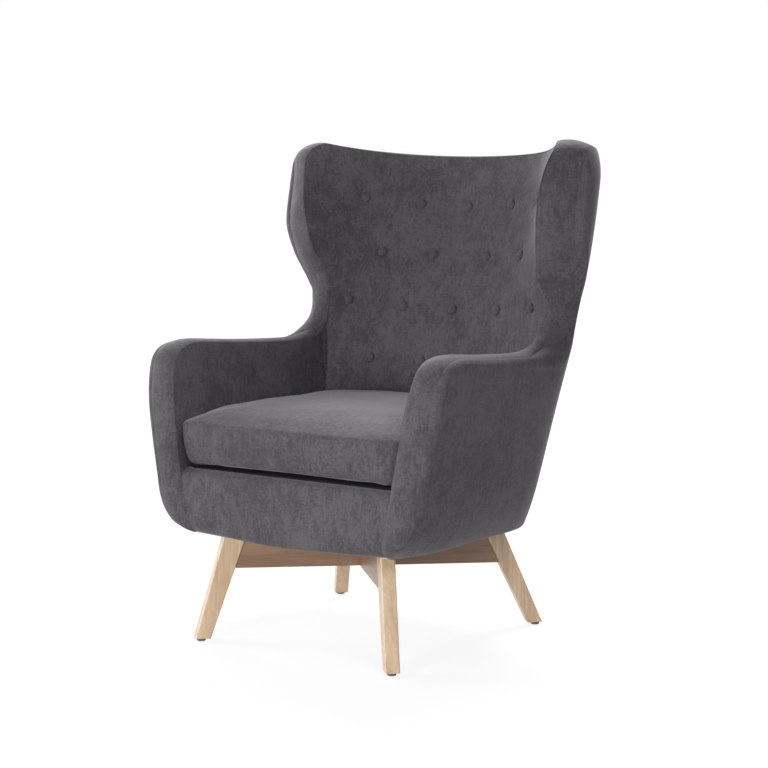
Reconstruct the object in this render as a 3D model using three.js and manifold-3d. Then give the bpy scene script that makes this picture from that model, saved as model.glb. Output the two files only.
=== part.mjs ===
// A wingback armchair: a round-backed upholstered shell whose arms and wings are edged by a sewn
// band, a button-tufted inner back, one loose seat cushion, and a splayed oak base whose four legs
// hang on two crossing rails. Units are millimetres, +Z is up and the chair faces -Y.
import * as THREE from 'three';
import { mergeVertices } from 'three/addons/utils/BufferGeometryUtils.js';
import Module from 'manifold-3d';

const wasm = await Module();
wasm.setup();

// Overall form of the body
const backHeight = 1040; // floor to the tops of the wings
const underside = 229; // floor to the bottom of the body
const armHeight = 617; // floor to the seam on top of an arm, at its front
const topDip = 33; // fall of the top edge between the wings
const dipSwing = 1.12; // turn from the middle of the back over which it falls, in radians
const dipPower = 2.2; // how level it is in the middle
const dipHubs = [440, 300, 210, 120]; // radii about the seat's middle that the top edge lies between
const sillHalfWidth = 328; // half the body's width at its bottom
const headHalfWidth = 388; // half its width at the wings
const armFront = -409; // front face of the arms
const rearCurveDepth = 250; // depth of the round rear, an ellipse in plan
const sillRearCentre = -66; // centre of that ellipse at the bottom of the body
const rearLean = 227; // how far the rear leans back over the body's height
const bottomRound = 118; // rounding of the bottom corners at the front of the arms
const roundFadeRun = 490; // length over which that rounding fades towards the rear
const topRoundDrop = 90; // height of the rounded shoulder along the outer top edge
const topRoundReach = 44; // its width
const frontEdgeRound = 32; // rounding of the front bottom edge

// Walls
const backThickness = 91; // inner back to outer back, at the middle
const armThickness = 72; // an arm's width at its top front
const sillArmThickness = 93; // the same at the bottom of the body
const wingReach = 208; // how far a wing stands ahead of the inner back
const bandCrown = 7; // how far the band swells between its seams
const bandThickness = 14; // foam and cloth of the band
const seamWrap = 18; // the outer seam's distance from the side face
const sideRound = 14; // rounding of the band's outer corner, seen from the side
const waistPinch = 34; // how much further in the seam runs at the waist
const waistFront = -60; // where that starts, and where it is whole
const waistRear = 60;
const waistLow = 630; // height up to which it is whole, and where it ends
const waistHigh = 810;
const coverThickness = 6; // outer cover with its lining
const padThickness = 28; // inner pads
const frameThickness = 20; // plywood of the arm and wing frames
const creaseSetback = 68; // where an arm pad meets the back pad, ahead of the inner back

// Outline of the band in side view
const waistBack = 128; // rearmost point of the inner seam, between arm and wing
const wingFront = 70; // foremost point of the inner seam on a wing
const outerArmBack = 113; // rearmost point of the outer seam along the arm
const outerWaistBack = 148; // the same two as above on the outer seam
const outerWingFront = 106;

// Seat
const railBottom = underside + 2;
const railHeight = 110;
const railThickness = 25;
const frontPanelThickness = 24;
const frontPanelHeight = 139;
const springWire = 3.4;
const springSwing = 24;
const springPitch = 44;
const springSpacing = 120;
const springCount = 3;
const deckThickness = 27;
const slatWidth = 46;
const slatThickness = 25;
const dustCoverThickness = 1.5;
const dustCoverHem = 12;

// Loose seat cushion
const cushionThickness = 97; // between its two seams
const cushionCrown = 26;
const cushionSeatGap = 0.4;
const cushionEdgeRound = 10;
const cushionFrontSetback = 16; // behind the arm fronts
const cushionSideGap = 2;
const cushionDrawIn = 4;
const cushionRise = 20; // how much higher the top seam is along the arms and the back
const cushionRiseRun = 150;

// Buttons of the inner back
const buttonRadius = 11.5;
const buttonThickness = 7;
const buttonSink = 3.5; // how far a button lies below the pad's surface
const tuftRadius = 28;

// Oak base
const baseCentre = -121; // where the two rails cross
const frontFootSpread = 240; // half the distance between the front feet
const rearFootSpread = 259;
const frontFootSetback = -372;
const rearFootSetback = 149;
const frontLegReach = 274; // from the crossing to the middle of a leg's top
const rearLegReach = 270;
const frontLegTopWidth = 49;
const rearLegTopWidth = 44;
const legFootWidth = 32;
const legThickness = 30;
const legEdgeRound = 2.5;
const crossRailHeight = 80; // at the crossing
const crossRailRake = 6; // how much its lower edge rises to the front legs and falls to the rear ones
const crossRailThickness = 25;
const tenonLength = 22;
const tenonThickness = 11;
const tenonHeight = 46;
const glideRadius = 9.5;
const glideHeight = 6;
const glideChamfer = 1.5;
const boltReach = 235;
const boltRadius = 4;
const boltHeadRadius = 6.5;
const boltHeadHeight = 5;
const boltSink = 28;
const boltBite = 20; // length of thread in the slat

// Fits
const gap = 0.3;
const overrun = 60; // how far a cutting solid runs past what it cuts
const jointLap = 1; // how far two solids run into each other before they are joined
const weld = 1e-4;
const sliver = 0.5; // cubic millimetres

const bodyHeight = backHeight - underside;
const seatDeckTop = railBottom + railHeight + springWire + 3 * gap + deckThickness;

// Solids

/** A closed solid from any geometry, its vertices merged. */
function toSolid(geometry) {
  const bare = geometry.clone();
  bare.deleteAttribute('normal');
  bare.deleteAttribute('uv');
  const merged = mergeVertices(bare, weld);
  return new wasm.Manifold(new wasm.Mesh({
    numProp: 3,
    vertProperties: new Float32Array(merged.attributes.position.array),
    triVerts: new Uint32Array(merged.index.array),
  }));
}

function toGeometry(solid) {
  const mesh = solid.getMesh();
  const geometry = new THREE.BufferGeometry();
  geometry.setAttribute('position', new THREE.BufferAttribute(new Float32Array(mesh.vertProperties), 3));
  geometry.setIndex(new THREE.BufferAttribute(new Uint32Array(mesh.triVerts), 1));
  geometry.computeVertexNormals();
  return geometry;
}

const planView = (point) => new THREE.Vector2(point.x, point.y);
const sideView = (point) => new THREE.Vector2(point.y, point.z);

/** Skin a row of equal closed rings and cap both ends, whose outlines `flatten` lays flat. */
function loft(rings, flatten) {
  const count = rings[0].length;
  const index = [];
  for (let level = 0; level < rings.length - 1; level += 1) {
    for (let i = 0; i < count; i += 1) {
      const a = level * count + i;
      const b = level * count + ((i + 1) % count);
      index.push(a, b, b + count, a, b + count, a + count);
    }
  }
  const last = (rings.length - 1) * count;
  THREE.ShapeUtils.triangulateShape(rings[0].map(flatten), [])
    .forEach(([a, b, c]) => index.push(c, b, a));
  THREE.ShapeUtils.triangulateShape(rings[rings.length - 1].map(flatten), [])
    .forEach(([a, b, c]) => index.push(last + a, last + b, last + c));
  const geometry = new THREE.BufferGeometry();
  const positions = rings.flat().flatMap((point) => [point.x, point.y, point.z]);
  geometry.setAttribute('position', new THREE.Float32BufferAttribute(positions, 3));
  geometry.setIndex(index);
  return geometry;
}

/** A box between two corners, as a solid. */
function block(low, high) {
  const size = high.map((value, axis) => value - low[axis]);
  const box = new THREE.BoxGeometry(...size);
  box.translate(...high.map((value, axis) => (value + low[axis]) / 2));
  return toSolid(box);
}

/** Everything beyond the front and the sides of the body, between two heights and two depths. */
const slab = (yLow, yHigh, zLow, zHigh) => block(
  [-headHalfWidth - overrun, yLow, zLow],
  [headHalfWidth + overrun, yHigh, zHigh],
);

const mix = THREE.MathUtils.lerp;
const smooth = (value, low, high) => THREE.MathUtils.smoothstep(value, low, high);

// Shape of the outside

const rise = (z) => (z - underside) / bodyHeight;
const held = (share) => THREE.MathUtils.clamp(share, 0, 1);

/** Half the body's width at a height, before its edges are rounded. */
const sideHalfWidth = (z) => mix(sillHalfWidth, headHalfWidth, 1 - (1 - held(rise(z))) ** 2);

const rearCentre = (z) => sillRearCentre + rearLean * rise(z);
const rearMiddle = (z) => rearCentre(z) + rearCurveDepth;

/** Half the body's width at a depth and a height. */
function outerHalfWidth(y, z) {
  const past = held((y - rearCentre(z)) / rearCurveDepth);
  return sideHalfWidth(z) * Math.sqrt(1 - past ** 2);
}

/** Fall of the top edge below the wing tops at a turn from the middle of the back. */
const dipAtTurn = (turn) => topDip * (1 - held(Math.abs(turn) / dipSwing) ** dipPower);
const dipAt = (point) => dipAtTurn(Math.atan2(point.x, point.y));

// Shares of the fade's run and of the rounding that is left there.
const roundFadeShares = [[0, 1], [0.1, 0.68], [0.26, 0.45], [0.63, 0.41], [0.78, 0.33], [1, 0]];

/** Value between the places of a list of [place, value] pairs, held at its ends. */
function readOff(pairs, place) {
  const next = pairs.findIndex(([at]) => at >= place);
  if (next <= 0) {
    return next < 0 ? pairs.at(-1)[1] : pairs[0][1];
  }
  const [low, high] = [pairs[next - 1], pairs[next]];
  return mix(low[1], high[1], (place - low[0]) / (high[0] - low[0]));
}

/** How far the outside draws in near the bottom, most at the front, and along the top edge. */
function drawIn(y, z) {
  const low = held((z - underside) / bottomRound);
  const bottom = bottomRound * (1 - Math.sqrt(1 - (1 - low) ** 2));
  const fade = readOff(roundFadeShares, (y - armFront) / roundFadeRun);
  const high = held((backHeight - z) / topRoundDrop);
  const top = topRoundReach * (1 - Math.sqrt(1 - (1 - high) ** 2));
  return bottom * fade + top;
}

/** Move every point of an open plan line square to it, outwards for a positive distance. */
function offsetLine(points, distance) {
  return points.map((point, i) => {
    const before = points[Math.max(i - 1, 0)];
    const after = points[Math.min(i + 1, points.length - 1)];
    const along = new THREE.Vector2(after.x - before.x, after.y - before.y).normalize();
    return new THREE.Vector3(point.x + along.y * distance, point.y - along.x * distance, point.z);
  });
}

/** The right half of a plan line, joined to its mirror image into one closed ring. */
function closeRing(half) {
  const mirrored = half.filter((point) => point.x > weld).reverse()
    .map((point) => new THREE.Vector3(-point.x, point.y, point.z));
  return [...half, ...mirrored];
}

const sideStepShares = [0, 0.12, 0.22, 0.38, 0.75, 0.88, 1];
const rearSteps = 9;

/** Share of the waist's pinch that the outer seam has at a place. */
const waistShare = (y, z) => smooth(y, waistFront, waistRear) * (1 - smooth(z, waistLow, waistHigh));

/** Outline of the body at a height, set in by `inset`, its edges rounded or square. */
function outerRing(z, inset, rounded) {
  const front = armFront - overrun;
  const centre = rearCentre(z);
  const plan = sideStepShares.map((share) => [sideHalfWidth(z), mix(front, centre, share)]);
  for (let step = 1; step <= rearSteps; step += 1) {
    const angle = (step / rearSteps) * (Math.PI / 2);
    const x = step === rearSteps ? 0 : sideHalfWidth(z) * Math.cos(angle);
    plan.push([x, centre + rearCurveDepth * Math.sin(angle)]);
  }
  const half = plan.map(([x, y]) => new THREE.Vector3(x, y, z));
  const moved = offsetLine(half, 0).map((point, i) => {
    const distance = inset + (rounded ? drawIn(point.y, z) : waistPinch * waistShare(point.y, z));
    return offsetLine(half, -distance)[i];
  });
  moved[moved.length - 1].x = 0;
  return closeRing(moved);
}

const shoulderShares = [0, 0.08, 0.3, 1]; // closer together where a rounding turns most
const flankShares = [0.3, 0.55, 0.77];

/** The outside as a solid, its rounded shoulder following the top edge and its sides run on up. */
function outerSolid(inset, { past = 0, rounded = true } = {}) {
  const levels = [
    ...shoulderShares.map((share) => underside + share * bottomRound),
    ...flankShares.map((share) => underside + share * bodyHeight),
    ...[...shoulderShares].reverse().map((share) => backHeight - share * topRoundDrop),
  ];
  const dipStart = backHeight - topRoundDrop;
  const rings = levels.map((z, level) => outerRing(z, inset, rounded).map((point) => {
    const share = held((z - dipStart) / topRoundDrop);
    const height = z - share * dipAt(point) - (level === 0 ? past : 0);
    return new THREE.Vector3(point.x, point.y, height);
  }));
  rings.push(rings.at(-1).map((point) => point.clone().setZ(backHeight + overrun)));
  return toSolid(loft(rings, planView));
}

const dipSteps = 9;
const levelTurns = [1.9, 2.6]; // corners of the level part of the top, in radians

/** Everything below the top edge of the back and wings, lowered by `drop`. */
function underTopEdge(drop) {
  const swing = Array.from({ length: dipSteps }, (_, step) => ((step + 1) / dipSteps) * dipSwing);
  const turns = [...swing, ...levelTurns];
  const around = [...turns.slice().reverse(), 0, ...turns.map((turn) => -turn)];
  const ring = (radius, low) => around.map((turn) => new THREE.Vector3(
    radius * Math.sin(turn),
    radius * Math.cos(turn),
    low ? 0 : backHeight - dipAtTurn(turn) - drop,
  ));
  return toSolid(loft([
    ring(backHeight, true),
    ring(backHeight, false),
    ...dipHubs.map((radius) => ring(radius, false)),
  ], planView));
}

// Shape of the inside

// Sections of the inner surface: height in the body, half-width of the wings' or arms' rear
// against the outside, reach ahead of the inner back against the wings' reach, and the power of
// the curve between.
const innerSectionShares = [
  [-0.124, 0.72, 0.327, 3.0],
  [0.325, 0.727, 0.327, 3.0],
  [0.417, 0.733, 0.345, 2.7],
  [0.479, 0.737, 0.385, 2.3],
  [0.545, 0.732, 0.42, 2.0],
  [0.612, 0.744, 0.58, 2.2],
  [0.683, 0.762, 0.78, 2.5],
  [0.755, 0.77, 0.93, 2.9],
  [0.826, 0.774, 1.0, 3.1],
  [0.908, 0.79, 1.0, 3.2],
  [0.99, 0.822, 0.98, 3.3],
  [1.102, 0.84, 0.97, 3.3],
];

/** Half-width, reach and power of the inner surface at a height. */
function innerSection(z) {
  const share = THREE.MathUtils.clamp(rise(z), innerSectionShares[0][0], innerSectionShares.at(-1)[0]);
  const next = Math.max(1, innerSectionShares.findIndex(([height]) => height >= share));
  const low = innerSectionShares[next - 1];
  const high = innerSectionShares[next];
  const t = (share - low[0]) / (high[0] - low[0]);
  const [width, reach, power] = [1, 2, 3].map((column) => mix(low[column], high[column], t));
  return { halfWidth: width * sideHalfWidth(z), reach: reach * wingReach, power };
}

/** Depth of the inner back at a place across it. */
function innerBackAt(x, z) {
  const { halfWidth, reach, power } = innerSection(z);
  return rearMiddle(z) - backThickness - reach * (Math.abs(x) / halfWidth) ** power;
}

/** Half-width of the space between the arms at their fronts. */
const innerFrontHalfWidth = (z) => sideHalfWidth(z)
  - mix(sillArmThickness, armThickness, (z - underside) / (armHeight - underside));

/** Half-width of the space between the arms or wings at a depth. */
function innerHalfWidth(y, z) {
  const { halfWidth, reach } = innerSection(z);
  const crease = rearMiddle(z) - backThickness - reach;
  return mix(innerFrontHalfWidth(z), halfWidth, (y - armFront) / (crease - armFront));
}

const backStepShares = [1, 0.94, 0.85, 0.73, 0.57, 0.38, 0];

/** Outline of the inner space at a height, grown by `grow` into the walls. */
function innerRing(z, grow) {
  const front = armFront - overrun;
  const { halfWidth } = innerSection(z);
  const half = [
    new THREE.Vector3(innerHalfWidth(front, z), front, z),
    new THREE.Vector3(innerHalfWidth(armFront / 2, z), armFront / 2, z),
    ...backStepShares.map((share) => new THREE.Vector3(
      share * halfWidth,
      innerBackAt(share * halfWidth, z),
      z,
    )),
  ];
  const grown = offsetLine(half, grow);
  grown[grown.length - 1].x = 0;
  return closeRing(grown);
}

const innerLevelShares = [
  -0.05, 0.15, 0.325, 0.417, 0.479, 0.545, 0.612, 0.683, 0.755, 0.826, 0.908, 0.99, 1.06,
];

const hiddenLevelShares = [-0.05, 0.325, 0.479, 0.612, 0.755, 0.908, 1.06];

/** The space inside the arms, back and wings as a solid, plainer where it is hidden in the walls. */
const innerSolid = (grow) => toSolid(loft(
  (grow < padThickness ? innerLevelShares : hiddenLevelShares)
    .map((share) => innerRing(underside + share * bodyHeight, grow)),
  planView,
));

// Outline of the band in side view

// Shares of the arm's length and height, up the front, over the top and back to the waist.
const armOutlineShares = [
  [0, 0.079], [0, 0.309], [0.008, 0.529], [0.014, 0.665], [0.027, 0.791], [0.05, 0.901],
  [0.077, 0.953], [0.112, 0.984], [0.16, 0.998], [0.21, 1], [0.33, 0.987], [0.45, 0.974],
  [0.62, 0.96], [0.765, 0.953], [0.86, 0.96], [0.93, 0.984],
];
// Shares of the wing's swing and height, from the waist up, for the inner and the outer seam.
const innerWingShares = [
  [0.76, 0.03], [0.96, 0.1], [1, 0.165], [0.92, 0.235], [0.7, 0.33], [0.32, 0.425], [0.09, 0.53],
  [0, 0.66], [0.12, 0.77], [0.36, 0.88], [0.78, 0.955], [1.25, 0.988], [1.9, 1.004],
];
const outerWingShares = [
  [0.05, 0.045], [0.45, 0.09], [0.81, 0.154], [1, 0.2], [0.9, 0.26], [0.55, 0.345],
  [0.29, 0.433], [0, 0.58], [0.29, 0.735], [0.69, 0.87], [0.93, 0.94], [1.08, 0.977],
  [1.35, 1.004],
];
const frontRoundShares = [[1.3, -0.4], [0.62, 0.02], [0.25, 0.16], [0.06, 0.5]];

/** Points of one seam's side view, from the front bottom edge to the top of the wing. */
function seamOutline(armBack, back, front, wingShares) {
  const bottom = frontRoundShares.map(([y, z]) => [
    armFront + y * frontEdgeRound,
    underside + z * frontEdgeRound,
  ]);
  const arm = armOutlineShares.map(([y, z]) => [
    mix(armFront, armBack, y),
    mix(underside, armHeight, z),
  ]);
  const wing = wingShares.map(([y, z]) => [
    mix(front, back, y),
    mix(armHeight, backHeight, z),
  ]);
  return [...bottom, ...arm, ...wing].map(([y, z]) => new THREE.Vector2(y, z));
}

const innerSeam = seamOutline(waistBack, waistBack, wingFront, innerWingShares);
const outerSeam = seamOutline(outerArmBack, outerWaistBack, outerWingFront, outerWingShares);

/** A seam's side view pushed back square to itself, or level along the rounded bottom edge. */
function pushBack(points, distances) {
  return points.map((point, i) => {
    const before = points[Math.max(i - 1, 0)];
    const after = points[Math.min(i + 1, points.length - 1)];
    const along = new THREE.Vector2().subVectors(after, before).normalize();
    if (i <= frontRoundShares.length) {
      along.set(0, 1);
    }
    return new THREE.Vector2(point.x + along.y * distances[i], point.y - along.x * distances[i]);
  });
}

// Stations across the band: share of the way from the side face to the outer seam, or from there
// to the inner one, with the share of the rounding or of the crown by which it is pushed back.
const bandStations = [
  { past: overrun, round: 1 },
  { wrap: 0, round: 1 },
  { wrap: 0.2, round: 0.65 },
  { wrap: 0.55, round: 0.3 },
  { wrap: 1, round: 0 },
  { share: 0.25, crown: 0.75 },
  { share: 0.5, crown: 1 },
  { share: 0.75, crown: 0.75 },
  { share: 1, crown: 0 },
];

/** One station's closed side view, on the right of the chair. */
function bandRing({ past = 0, wrap = 1, round = 0, share = 0, crown = 0 }, inset) {
  const line = outerSeam.map((point, i) => point.clone().lerp(innerSeam[i], share));
  const pinch = line.map((point) => waistPinch * waistShare(point.x, point.y));
  const pushed = pinch.map((extra) => round * (sideRound + extra) - crown * bandCrown + inset);
  const edge = pushBack(line, pushed).map((point, i) => {
    const reach = past > 0 ? -past : wrap * (seamWrap + pinch[i]);
    const side = outerHalfWidth(point.x, point.y) - reach;
    return new THREE.Vector3(mix(side, innerHalfWidth(point.x, point.y), share), point.x, point.y);
  });
  const rear = rearMiddle(backHeight) + overrun;
  const top = edge.at(-1);
  const bottom = edge[0];
  return [
    new THREE.Vector3(bottom.x, rear, bottom.z),
    new THREE.Vector3(top.x, rear, top.z + overrun),
    ...edge.reverse(),
  ];
}

/** Everything behind the band's face, pushed back by `inset`. */
function profileSolid(inset) {
  const right = bandStations.map((station) => bandRing(station, inset));
  const left = right.map((ring) => ring.map((point) => new THREE.Vector3(-point.x, point.y, point.z)));
  return toSolid(loft([...left, ...right.reverse()], sideView));
}

// Shared solids of the upholstery

const body = profileSolid(0).intersect(outerSolid(0)).intersect(underTopEdge(0));
const core = profileSolid(bandThickness + gap)
  .intersect(outerSolid(coverThickness + gap))
  .intersect(underTopEdge(bandThickness + gap));
const inner = innerSolid(0);
const shell = body.subtract(inner);
const behindBand = (inset) => profileSolid(inset).intersect(underTopEdge(inset));
const underBand = behindBand(bandThickness);

/** A layer of the walls between two distances from the inner surface. */
const layer = (near, far) => core.intersect(innerSolid(far)).subtract(near > 0 ? innerSolid(near) : inner);

const creaseAt = (z) => rearMiddle(z) - backThickness - creaseSetback;
const padBottom = railBottom + railHeight + gap;
const armPadTop = mix(armHeight, backHeight, 0.06);
const crease = creaseAt(mix(padBottom, armHeight, 0.45));

// Materials

const material = (color, roughness, metalness = 0) => new THREE.MeshStandardMaterial({
  color, roughness, metalness,
});
const cloth = material(0x57565a, 0.95);
const oak = material(0xd3b48c, 0.55);
const birch = material(0xc9a878, 0.75);
const steel = material(0x9a9c9f, 0.35, 1);
const plastic = material(0xd9d7d2, 0.5);
const lining = material(0x1d1d1f, 0.9);
const foam = material(0xd8d2c0, 0.95);

const chair = new THREE.Group();

/** Add one named piece to the chair, without the slivers of no volume that a cut can leave. */
function add(name, solid, finish) {
  const whole = solid.decompose().filter((body) => Math.abs(body.volume()) > sliver);
  const mesh = new THREE.Mesh(toGeometry(wasm.Manifold.compose(whole)), finish);
  mesh.name = name;
  chair.add(mesh);
}

const sides = [['left', -1], ['right', 1]];

/** The part of a solid on one side of the middle, past a distance from it. */
const onSide = (solid, sign, from = 0, depth = overrun) => solid.intersect(block(
  sign > 0 ? [from, -1 * backHeight, 0] : [-headHalfWidth - depth, -1 * backHeight, 0],
  sign > 0 ? [headHalfWidth + depth, backHeight, 2 * backHeight] : [-from, backHeight, 2 * backHeight],
));

// Outer covers: one round the back and one for each side, sewn together behind the arms

const coverSeam = 0.66 * sillHalfWidth;

function outerCovers() {
  const bandRoom = outerSolid(seamWrap - gap, { past: overrun, rounded: false }).subtract(underBand);
  const coreRoom = outerSolid(coverThickness, { past: overrun })
    .intersect(behindBand(bandThickness - jointLap));
  const covers = shell.subtract(bandRoom).subtract(coreRoom);
  const rearward = slab(mix(armFront, waistBack, 0.9), backHeight, 0, 2 * backHeight);
  const middle = rearward.intersect(block(
    [-coverSeam, -backHeight, 0],
    [coverSeam, backHeight, 2 * backHeight],
  ));
  add('outer_back_cover', covers.intersect(middle), cloth);
  sides.forEach(([side, sign]) => {
    add(`outer_side_cover_${side}`, onSide(covers, sign, coverSeam + gap), cloth);
  });
}

// Band along the arms, wings and top

const pleatY = mix(armFront, waistBack, 0.93);
const pleatTop = mix(armHeight, backHeight, 0.14);

function edgeBands() {
  const band = shell.subtract(underBand)
    .intersect(outerSolid(seamWrap, { past: overrun, rounded: false }));
  const armPart = slab(armFront - overrun, pleatY, 0, pleatTop);
  const armPartGrown = slab(armFront - overrun, pleatY + gap, 0, pleatTop + gap);
  add('head_band', band.subtract(armPartGrown), cloth);
  sides.forEach(([side, sign]) => {
    add(`arm_band_${side}`, onSide(band.intersect(armPart), sign), cloth);
  });
}

// Front panel under the cushion

function frontPanel() {
  const room = slab(
    armFront - overrun,
    armFront + frontPanelThickness,
    underside,
    underside + frontPanelHeight,
  );
  add('front_panel', body.intersect(innerSolid(-gap)).intersect(room), cloth);
}

// Inner pads, with the buttons of the back sunk in them

// Height of each row in the body, and each button's place across as a share of the sill's
// half-width. The outer buttons of a row ride up a little with the wings.
const buttonRowShares = [
  { height: 0.821, lift: 0.055, across: [-0.68, -0.357, 0, 0.357, 0.68] },
  { height: 0.686, lift: 0.033, across: [-0.545, -0.212, 0.212, 0.545] },
  { height: 0.54, lift: 0.039, across: [-0.72, -0.372, 0, 0.372, 0.72] },
  { height: 0.396, lift: 0.012, across: [-0.565, -0.196, 0.196, 0.565] },
];

/** Where each button sits: its place on the inner back and the way that it faces. */
function buttonPlaces() {
  return buttonRowShares.flatMap(({ height, lift, across }, row) => across.map((share, column) => {
    const x = share * sillHalfWidth;
    const z = underside + (height + lift * share ** 2) * bodyHeight;
    const step = buttonRadius;
    const acrossSlope = (innerBackAt(x + step, z) - innerBackAt(x - step, z)) / (2 * step);
    const upSlope = (innerBackAt(x, z + step) - innerBackAt(x, z - step)) / (2 * step);
    return {
      name: `back_button_${row + 1}_${column + 1}`,
      place: new THREE.Vector3(x, innerBackAt(x, z), z),
      facing: new THREE.Vector3(acrossSlope, -1, upSlope).normalize(),
    };
  }));
}

/** A solid of revolution about +Z from its half profile, turned to face a way and set in place. */
function turned(profile, segments, { place, facing }) {
  const lathe = new THREE.LatheGeometry(profile.map(([r, h]) => new THREE.Vector2(r, h)), segments);
  lathe.rotateX(Math.PI / 2);
  const turn = new THREE.Quaternion().setFromUnitVectors(new THREE.Vector3(0, 0, 1), facing);
  lathe.applyQuaternion(turn);
  lathe.translate(place.x, place.y, place.z);
  return toSolid(lathe);
}

const buttonSegments = 8;

function buttonProfile() {
  const base = -buttonSink - buttonThickness / 2;
  return [
    [0, base],
    [buttonRadius, base],
    [buttonRadius, base + 0.35 * buttonThickness],
    [0.7 * buttonRadius, base + 0.85 * buttonThickness],
    [0, base + buttonThickness],
  ];
}

/** The dimple round a button, with its seat. */
function tuftProfile() {
  const base = -buttonSink - buttonThickness / 2 - gap;
  return [
    [0, base],
    [buttonRadius + 2 * gap, base],
    [tuftRadius, 0.3 * buttonSink],
    [tuftRadius, buttonSink],
    [0, buttonSink],
  ];
}

function innerPads() {
  const overSeat = slab(-backHeight, backHeight, padBottom, 2 * backHeight);
  const padLayer = layer(0, padThickness).intersect(overSeat);
  const armZone = slab(armFront - overrun, crease - gap, 0, armPadTop);
  const armZoneGrown = slab(armFront - overrun, crease, 0, armPadTop + gap);
  const places = buttonPlaces();
  const tufts = wasm.Manifold.union(places.map((at) => turned(tuftProfile(), buttonSegments, at)));
  add('inner_back_pad', padLayer.subtract(armZoneGrown).subtract(tufts), cloth);
  sides.forEach(([side, sign]) => {
    add(`inner_arm_pad_${side}`, onSide(padLayer.intersect(armZone), sign), cloth);
  });
  places.forEach((at) => add(at.name, turned(buttonProfile(), buttonSegments, at), cloth));
}

// Places of the seat frame

const railTop = railBottom + railHeight;
const frontRailBack = armFront + frontPanelThickness + gap + railThickness;
const frontSlatMiddle = baseCentre - boltReach * Math.sin(crossAngle());
const rearSlatMiddle = baseCentre + boltReach * Math.sin(crossAngle());
const rearRailFront = rearSlatMiddle + slatWidth / 2 + gap;
const rearRailHalfLength = 0.64 * sillHalfWidth;

/** Angle of the crossing rails in plan, from the middle line of the chair's width. */
function crossAngle() {
  return Math.atan2(rearFootSetback - frontFootSetback, frontFootSpread + rearFootSpread);
}

// Timber of the arms, wings and back, behind the pads

const postInner = 0.56 * sillHalfWidth;
const armFrameMargin = 70;

function wallFrames() {
  const near = padThickness + gap;
  const frames = layer(near, near + frameThickness);
  const armZone = slab(armFront - overrun, crease - gap, railBottom, armPadTop);
  const armZoneGrown = slab(armFront - overrun, crease, 0, armPadTop + gap);
  const window = slab(
    armFront + armFrameMargin + bandThickness,
    crease - armFrameMargin,
    seatDeckTop,
    armHeight - armFrameMargin - bandThickness,
  );
  const rearRailRoom = slab(rearRailFront - gap, backHeight, 0, railTop + gap);
  const backPart = frames.subtract(armZoneGrown)
    .intersect(slab(-backHeight, backHeight, railBottom + railHeight + gap, 2 * backHeight));
  sides.forEach(([side, sign]) => {
    const armPart = frames.intersect(armZone).subtract(window).subtract(rearRailRoom);
    add(`arm_frame_${side}`, onSide(armPart, sign), birch);
    add(`wing_frame_${side}`, onSide(backPart, sign, postInner), birch);
  });
  const between = block([-postInner + gap, -backHeight, 0], [postInner - gap, backHeight, 2 * backHeight]);
  const railBetween = (low, high) => backPart.intersect(between)
    .intersect(slab(-backHeight, backHeight, low, high));
  const top = backHeight - topDip - bandThickness - gap;
  add('back_top_rail', railBetween(top - railThickness * 2, top + topDip), birch);
  add('back_lumbar_rail', railBetween(seatDeckTop + railThickness, seatDeckTop + 3 * railThickness), birch);
}

// Seat frame, springs and deck

const boltPlaces = () => [
  ['front_left', -1, -1], ['front_right', 1, -1], ['rear_left', -1, 1], ['rear_right', 1, 1],
].map(([name, across, along]) => ({
  name,
  x: across * boltReach * Math.cos(crossAngle()),
  y: baseCentre + along * boltReach * Math.sin(crossAngle()),
}));

/** A round bar along +Z. */
function bar(radius, low, high, x, y, segments = 10) {
  const cylinder = new THREE.CylinderGeometry(radius, radius, high - low, segments);
  cylinder.rotateX(Math.PI / 2);
  cylinder.translate(x, y, (low + high) / 2);
  return toSolid(cylinder);
}

const boltHoles = () => wasm.Manifold.union(
  boltPlaces().map(({ x, y }) => bar(boltRadius + gap, 0, armHeight, x, y)),
);

function seatFrame() {
  const holes = boltHoles();
  const frontRoom = slab(armFront + frontPanelThickness + gap, frontRailBack, railBottom, railTop);
  add('front_seat_rail', inner.intersect(frontRoom), birch);
  add('rear_seat_rail', block(
    [-rearRailHalfLength, rearRailFront, railBottom],
    [rearRailHalfLength, rearRailFront + railThickness, railTop],
  ), birch);
  const sideRoom = slab(
    armFront + frontPanelThickness + gap,
    rearSlatMiddle - slatWidth / 2 - gap,
    railBottom,
    railTop,
  );
  const rails = layer(gap, padThickness).intersect(sideRoom);
  sides.forEach(([side, sign]) => add(`side_seat_rail_${side}`, onSide(rails, sign), birch));
  const slatRoom = (middle) => slab(
    middle - slatWidth / 2,
    middle + slatWidth / 2,
    railBottom,
    railBottom + slatThickness,
  );
  add('front_mounting_slat', inner.intersect(slatRoom(frontSlatMiddle)).subtract(holes), birch);
  const rearSlat = slatRoom(rearSlatMiddle).intersect(innerSolid(padThickness));
  add('rear_mounting_slat', rearSlat.subtract(holes), birch);
}

const wireSides = 5;

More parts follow.
